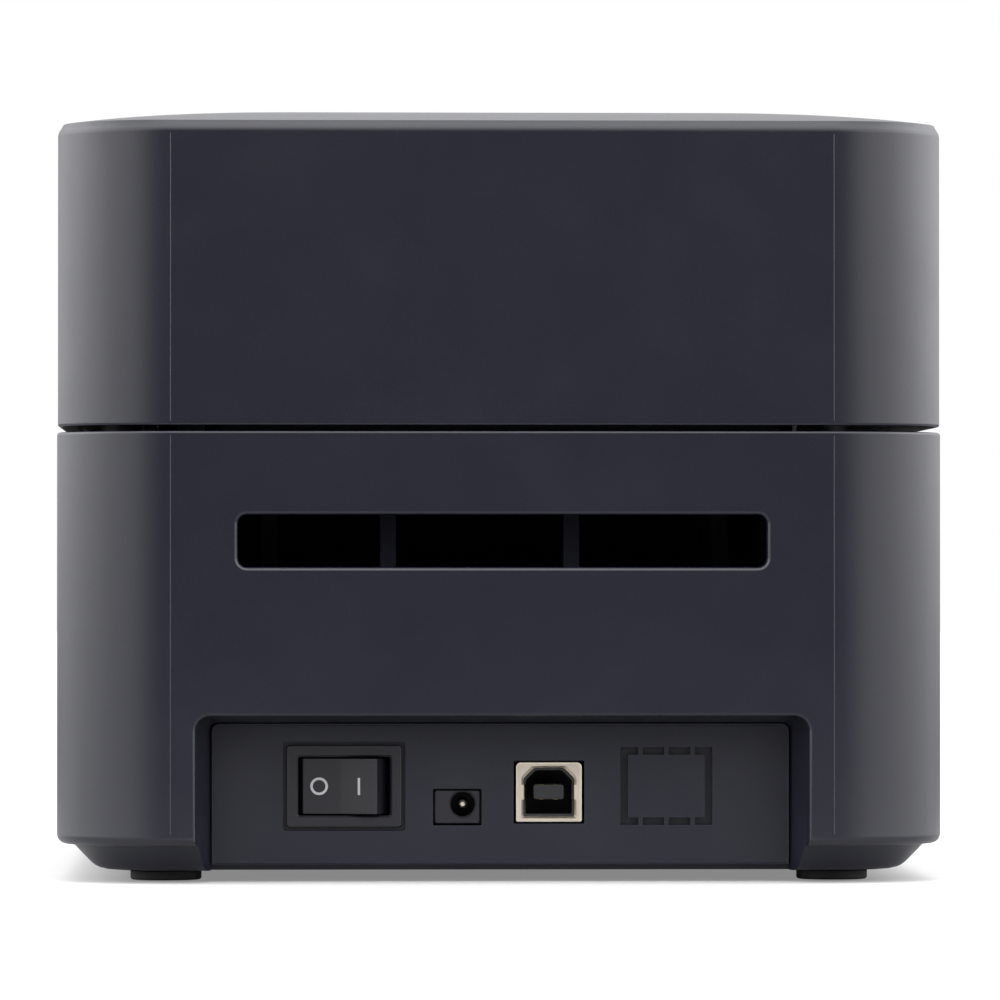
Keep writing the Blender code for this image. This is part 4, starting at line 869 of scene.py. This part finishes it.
add_rings(bm, [usb_ring(mouth_w - 0.42, mouth_h - 0.42, mouth_cut, tongue_low.y + 1),
               usb_ring(mouth_w - 0.38, mouth_h - 0.38, mouth_cut, shade_liner_front + 2)])
for side in (1, -1):
    low_x, high_x = ordered(side, mouth_w - 1, mouth_w + 1)
    add_block(bm, (usb[0] + low_x, usb_high.y - 7, usb[1] - finger_half - 0.1),
              (usb[0] + high_x, usb_high.y + 1, usb[1] + finger_half + 0.1))
shape(painted_shade_liner, bm)
bm = bmesh.new()
for x in (-1.25, 1.25):
    for side in (1, -1):
        z0, z1 = ordered(side, tongue_half - 0.14, tongue_half + 1)
        add_block(bm, (usb[0] + x - 0.55, tongue_low.y + 1, usb[1] + z0),
                  (usb[0] + x + 0.55, tongue_high.y + 1, usb[1] + z1))
shape(tongue, bm)
fit(tongue, tongue_black, "base", "inner_plastic", "usb_tongue")
fit(painted_shade_liner, tongue_black, "base", "inner_plastic")
gold = drawn("contact_gold", (0.75, 0.52, 0.22), (0.6, 0.4, 0.17), (0.2, 0.35), (2500.0, 120.0, 2500.0))
bm = bmesh.new()
for x in (-1.25, 1.25):
    for side in (1, -1):
        z0, z1 = ordered(side, tongue_half - 0.12, tongue_half - 0.02)
        rise = [(tongue_low.y + 1.5, z0), (tongue_high.y - 0.5, z0), (tongue_high.y - 0.5, (z0 + z1) / 2),
                (tongue_high.y - 0.8, z1), (tongue_low.y + 1.5, z1)]
        add_prism(bm, "X", [(y, usb[1] + z) for y, z in rise], usb[0] + x - 0.42, usb[0] + x + 0.42)
contacts = store("usb_contacts", bm)
fit(contacts, gold, "base", "nickel")

# ---- Main board ----
# A green glass-epoxy board under the deck. Black packages stand on the solder mask, and bare tinned
# pads show between the copper tracks.


def dress(name, paint, bevel):
    """Keeps a CAD piece, joins its faces, eases its sharp edges and paints it."""
    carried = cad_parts[name]
    weld = carried.modifiers.new("weld", "WELD")
    weld.merge_threshold = 0.00001
    merge = carried.modifiers.new("merge_flats", "DECIMATE")
    merge.decimate_type = "DISSOLVE"
    merge.angle_limit = radians(1)
    if bevel:
        ease = carried.modifiers.new("ease_edges", "BEVEL")
        ease.width = bevel * MM
        ease.segments = 2
        ease.limit_method = "ANGLE"
        ease.angle_limit = radians(38)
        ease.harden_normals = False
        level = carried.modifiers.new("flat_faces", "WEIGHTED_NORMAL")
        level.keep_sharp = True
    for socket in carried.material_slots:
        socket.material = paint


def circuit(name, top, mask_colour, track_colour):
    """Solder mask with tracks up to the board's top face, and black packages above it."""
    made, tree, shader = new_material(name)
    place = node(tree, "ShaderNodeTexCoord").outputs["Object"]
    height = node(tree, "ShaderNodeSeparateXYZ", {0: place})
    stretch = node(tree, "ShaderNodeVectorMath", {0: place}, operation="MULTIPLY")
    stretch.inputs[1].default_value = (420.0, 160.0, 420.0)
    tracks = node(tree, "ShaderNodeTexVoronoi", {"Vector": stretch.outputs["Vector"]},
                  feature="DISTANCE_TO_EDGE", Scale=1.0, Randomness=0.55)
    copper = ranged(tree, tracks.outputs["Distance"], 0.04, 0.07, 1.0, 0.0)
    laid = tinted(tree, mask_colour, track_colour, copper, None)
    pads = node(tree, "ShaderNodeTexVoronoi", {"Vector": place}, Scale=330.0, Randomness=0.35)
    tinned = ranged(tree, pads.outputs["Distance"], 0.16, 0.2, 1.0, 0.0)
    board = tinted(tree, laid, (0.5, 0.5, 0.47), tinned, None)
    packages = ranged(tree, height.outputs["Z"], top + 0.0001, top + 0.00015, 0.0, 1.0)
    tinted(tree, board, (0.012, 0.012, 0.013), packages, shader.inputs["Base Color"])
    ranged(tree, copper, 0, 1, 0.32, 0.24, shader.inputs["Roughness"])
    bumped(tree, copper, 0.00002, shader, 0.6)
    return made


green_board = circuit("green_board", (board_low.z + 1.6) * MM, (0.005, 0.075, 0.03), (0.012, 0.14, 0.055))
dress("main_board", green_board, 0.1)

# ---- Media deck, roll guides and their pinion ----
# The deck is one dark moulding with the roll bay let into it. Two guides slide in from the sides on
# racks that share one small nylon pinion under the bay.
deck_grey = moulded("deck_plastic", (0.003, 0.0035, 0.008), (0.009, 0.010, 0.017), (0.48, 0.6), 1600.0,
                    0.00003, specular=0.12)
dress("media_deck", deck_grey, 0.3)
guide_grey = moulded("guide_plastic", (0.016, 0.016, 0.019), (0.035, 0.035, 0.040), (0.34, 0.48), 2000.0,
                     0.00002)
for guide in ("media_guide_left", "media_guide_right"):
    dress(guide, guide_grey, 0.25)
nylon = moulded("natural_nylon", (0.62, 0.60, 0.54), (0.72, 0.70, 0.64), (0.36, 0.48), 1500.0, 0.00001)
for gear in ("guide_pinion", "platen_gear", "idler_gear"):
    dress(gear, nylon, 0.08)

# ---- Platen roller and its drive ----
# A silicone rubber sleeve on a ground steel shaft turns in two porous bronze bearings. The stepping
# motor drives it through its steel pinion and the idler.
shaft_steel = drawn("ground_steel", (0.60, 0.60, 0.59), (0.44, 0.44, 0.44), (0.2, 0.34),
                    (9000.0, 200.0, 200.0))


def turned_x(name, node_name, ends, paint, body, slot, bore=0.0, sides=64):
    """A turned piece along X from its CAD box: ends lists (share of radius, inset from each end)."""
    low, high = span(node_name)
    middle = (low + high) / 2
    radius = (high.z - low.z) / 2
    near = [(radius * share, low.x + inset) for share, inset in ends]
    far = [(radius * share, high.x - inset) for share, inset in reversed(ends)]
    bm = bmesh.new()
    add_turned(bm, "X", (middle.y, middle.z), near + far, sides)
    made = store(name, bm)
    if bore:
        bm = bmesh.new()
        add_turned(bm, "X", (middle.y, middle.z), ((bore, low.x - 1), (bore, high.x + 1)), sides)
        shape(made, bm)
    fit(made, paint, body, slot, node_name)


chamfered = ((0.8, 0.0), (0.86, 0.12), (1.0, 0.5))
turned_x("roller_shaft", "platen_shaft", chamfered, shaft_steel, "platen", "steel")
platen_rubber, shader = plain_finish("platen_rubber", (0.012, 0.012, 0.013), (0.03, 0.03, 0.032),
                                     (0.5, 0.68), 4200.0, 0.00002)
turned_x("roller_sleeve", "platen_rubber", ((0.9, 0.0), (0.97, 0.1), (1.0, 0.5)), platen_rubber, "platen",
         "rubber", bore=3.3, sides=96)
bronze = drawn("porous_bronze", (0.50, 0.29, 0.13), (0.33, 0.19, 0.09), (0.4, 0.6), (900.0, 900.0, 900.0),
               0.00002)
for side in ("left", "right"):
    turned_x(f"bush_{side}", f"platen_bearing_{side}", ((0.9, 0.0), (1.0, 0.35)), bronze, "base", "bronze",
             bore=3.3)
dress("idler_post", shaft_steel, 0.0)
dress("motor_pinion", shaft_steel, 0.05)
dress("motor_shaft", shaft_steel, 0.0)
motor_black = drawn("motor_steel", (0.30, 0.30, 0.31), (0.18, 0.18, 0.19), (0.34, 0.55),
                    (6000.0, 60.0, 6000.0))
dress("stepper_motor", motor_black, 0.3)

# ---- Tear bar and gap sensor ----
# The tear bar is a thin stainless strip with a toothed edge, let into the front wall. The gap sensor
# is a small black optical block under a groove in the deck.
tear_steel = drawn("stainless_strip", (0.66, 0.66, 0.65), (0.5, 0.5, 0.5), (0.22, 0.36))
dress("tear_bar", tear_steel, 0.0)
dress("gap_sensor", switch_black, 0.15)

# ---- Hinge ----
# Two folded steel arms on the lid turn on steel pins held by lugs inside the rear wall.
arm_steel = drawn("arm_steel", (0.45, 0.45, 0.44), (0.3, 0.3, 0.3), (0.3, 0.5), (400.0, 5000.0, 400.0))
for side in ("left", "right"):
    dress(f"hinge_arm_{side}", arm_steel, 0.2)
    turned_x(f"pin_{side}", f"hinge_pin_{side}", chamfered, shaft_steel, "base", "steel", sides=40)

# ---- Lid shell ----
# The lid is one moulding in the same textured ABS, with a gently crowned top and the same corner
# inserts' witness lines. Ribs under the top carry the frame for the print head.
lid_low, lid_high = span("lid_shell")
lid_edge = (case_width - (lid_high.x - lid_low.x)) / 2
face = lid_edge + skin
wall_top = 136.0
crown_drop, crown_reach, crown_power = 3.3, 37.0, 2.2


def crown(inset):
    return lid_high.z - crown_drop * max(0.0, 1 - inset / crown_reach) ** crown_power


bm = bmesh.new()
rings = [plan_ring(face + inset, lid_low.z + rise) for inset, rise in roll(0.5, 4)]
shoulder = ((0, -0.2), (0.06, 0.3), (0.22, 0.72), (0.5, 1.1))
rings += [plan_ring(face + inset, wall_top + rise) for inset, rise in shoulder]
soft = corner_radius - 2
insets = (1.2, 2, 3.2, 5, 7.5, 10, 13, 16, 20, 24, 28, 32, crown_reach)
rings += [plan_ring(inset, crown(inset) - 0.02, soft) for inset in insets]
add_rings(bm, rings)
lid = store("lid_moulding", bm)
inner = lid_edge + wall
cavity_top = 138.3
bm = bmesh.new()
lap = lid_edge + 1.2
add_rings(bm, [plan_ring(lap, lid_low.z - 3), plan_ring(lap, lid_low.z + 2), plan_ring(inner, lid_low.z + 2),
               plan_ring(inner, wall_top - 2), plan_ring(inner + 2, wall_top),
               plan_ring(inner + 14, cavity_top - 0.8, soft - 2),
               plan_ring(crown_reach, cavity_top, soft - 2)])
shape(lid, bm)
frame_top = span("lid_frame")[1].z
bm = bmesh.new()
for x, y in ((32, -93), (45, -54)):  # bosses that the frame is screwed to
    for side in (1, -1):
        add_turned(bm, "Z", (side * x, y), ((3.5, frame_top + gap), (3.5, cavity_top)), 28)
for side in (1, -1):  # stiffening ribs, along and across
    add_block(bm, (side * 62 - 1, -70, 118), (side * 62 + 1, 78, cavity_top))
for y in (-12, 52):
    add_block(bm, (-62, y - 1, 130), (62, y + 1, cavity_top))
add_block(bm, (-51, 86.8, case_top + 0.15), (51, 88, 92))  # light rib behind the parting line
for side in (1, -1):
    low_x, high_x = ordered(side, 47, 48.4)
    add_block(bm, (low_x, 87, 88), (high_x, case_rear - 1, 92))
shape(lid, bm, "UNION")
button_z = 112.0
release, feed = (0.0, button_z), (middle_of("feed_button")[0], button_z)
lens = (50.0, 100.0)
release_size, lens_size, feed_radius = (44.0, 9.0), (14.0, 3.0), 5.5
front_open, front_past = case_front - 5, case_front + 5
bm = bmesh.new()
add_block(bm, (-exit_half, front_open, lid_low.z - 5), (exit_half, front_past, lid_low.z + 5.3))
add_window(bm, release, (release_size[0] + 2 * gap, release_size[1] + 2 * gap), front_open, front_past, 1.2)
add_window(bm, lens, (lens_size[0] + 2 * gap, lens_size[1] + 2 * gap), front_open, front_past, 0.8)
add_turned(bm, "Y", feed, ((feed_radius + gap, front_open), (feed_radius + gap, front_past)), 64)
shape(lid, bm)
bm = bmesh.new()
for x in (witness_x, -witness_x):
    add_ridge(bm, x, case_rear - lid_edge, 1, lid_low.z + 0.8, wall_top - 0.5)
shape(lid, bm, "UNION")
fit(lid, charcoal, "lid", "shell", "lid_shell", sharp=24)

# ---- Lid frame, print head and springs ----
# A pressed steel frame in the lid carries the thermal head on two springs. The head is a glazed
# ceramic strip with its heater line, bonded to a finned aluminium heat sink.
dress("lid_frame", zinc_steel, 0.15)
dress("head_carrier", deck_grey, 0.2)
alloy = drawn("sink_alloy", (0.68, 0.69, 0.70), (0.52, 0.53, 0.54), (0.3, 0.48), (60.0, 5000.0, 5000.0))
dress("heat_sink", alloy, 0.1)
ceramic, tree, shader = new_material("glazed_ceramic")
place = node(tree, "ShaderNodeTexCoord").outputs["Object"]
place_split = node(tree, "ShaderNodeSeparateXYZ", {0: place})
strip_low, strip_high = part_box("thermal_strip")
heater_y = (strip_low.y + strip_high.y) / 2
lines = node(tree, "ShaderNodeTexWave", {"Vector": place}, bands_direction="X", wave_type="BANDS",
             Scale=900.0, Distortion=0.0)
leads = tinted(tree, (0.10, 0.085, 0.07), (0.24, 0.19, 0.11), lines.outputs["Fac"], None)
off_line = node(tree, "ShaderNodeMath", {0: place_split.outputs["Y"]}, operation="SUBTRACT")
off_line.inputs[1].default_value = heater_y
distance = node(tree, "ShaderNodeMath", {0: off_line.outputs[0]}, operation="ABSOLUTE")
heater = ranged(tree, distance.outputs[0], 0.0002, 0.0003, 1.0, 0.0)
tinted(tree, leads, (0.03, 0.024, 0.02), heater, shader.inputs["Base Color"])
ranged(tree, lines.outputs["Fac"], 0, 1, 0.12, 0.22, shader.inputs["Roughness"])
shader.inputs["Coat Weight"].default_value = 0.5
bumped(tree, lines.outputs["Fac"], 0.000004, shader)
dress("thermal_strip", ceramic, 0.05)
spring_steel = drawn("spring_steel", (0.55, 0.55, 0.54), (0.36, 0.36, 0.36), (0.2, 0.36),
                     (1800.0, 1800.0, 1800.0))
wire, per_turn, turns, wire_sides = 0.32, 32, 5.5, 10
for side in ("left", "right"):
    low, high = span(f"head_spring_{side}")
    middle = (low + high) / 2
    coil_radius = (high.x - low.x) / 2 - wire
    count = int(per_turn * turns)
    bm = bmesh.new()
    sections = []
    for i in range(count + 1):
        t = i / count
        a = 2 * pi * turns * t
        ground = min(1.0, t * turns, (1 - t) * turns)  # the end coils lie flatter
        climb = 0.5 + (t - 0.5) * (1 + 0.1 * ground) / 1.1
        centre = Vector((coil_radius * cos(a), coil_radius * sin(a), (high.z - low.z - 2 * wire) * climb))
        centre += Vector((middle.x, middle.y, low.z + wire))
        outward = Vector((cos(a), sin(a), 0))
        around = [2 * pi * j / wire_sides for j in range(wire_sides)]
        sections.append([centre + outward * wire * cos(b) + Vector((0, 0, wire * sin(b))) for b in around])
    add_rings(bm, sections)
    spring = store(f"coil_{side}", bm)
    fit(spring, spring_steel, "lid", "steel", f"head_spring_{side}", sharp=60)
    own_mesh(spring)

# ---- Latch ----
# Two steel hooks on one cross shaft catch studs at the sides of the deck. The release button pushes
# the lever on the same shaft.
turned_x("latch_bar", "latch_shaft", chamfered, shaft_steel, "latch", "steel", sides=40)
for name in ("latch_hook_left", "latch_hook_right", "latch_lever"):
    dress(name, arm_steel, 0.15)
for side in ("left", "right"):
    dress(f"strike_stud_{side}", zinc_steel, 0.0)

# ---- Controls ----
# A wide release button, a round feed button and a frosted status lens are set in the front of the
# lid. The buttons are smoother than the lid, with their edges rounded for the finger.
dress("control_board", green_board, 0.1)
button_black = moulded("button_plastic", (0.014, 0.014, 0.016), (0.03, 0.03, 0.034), (0.26, 0.38), 2600.0,
                       0.00001)
dress("release_button", button_black, 0.6)
dress("feed_button", button_black, 0.5)
frosted, shader = plain_finish("frosted_lens", (0.55, 0.60, 0.62), (0.68, 0.72, 0.74), (0.3, 0.45),
                               3600.0, 0.00001)
shader.inputs["Subsurface Weight"].default_value = 0.25
shader.inputs["Subsurface Scale"].default_value = 0.002
dress("status_lens", frosted, 0.3)

low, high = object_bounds()
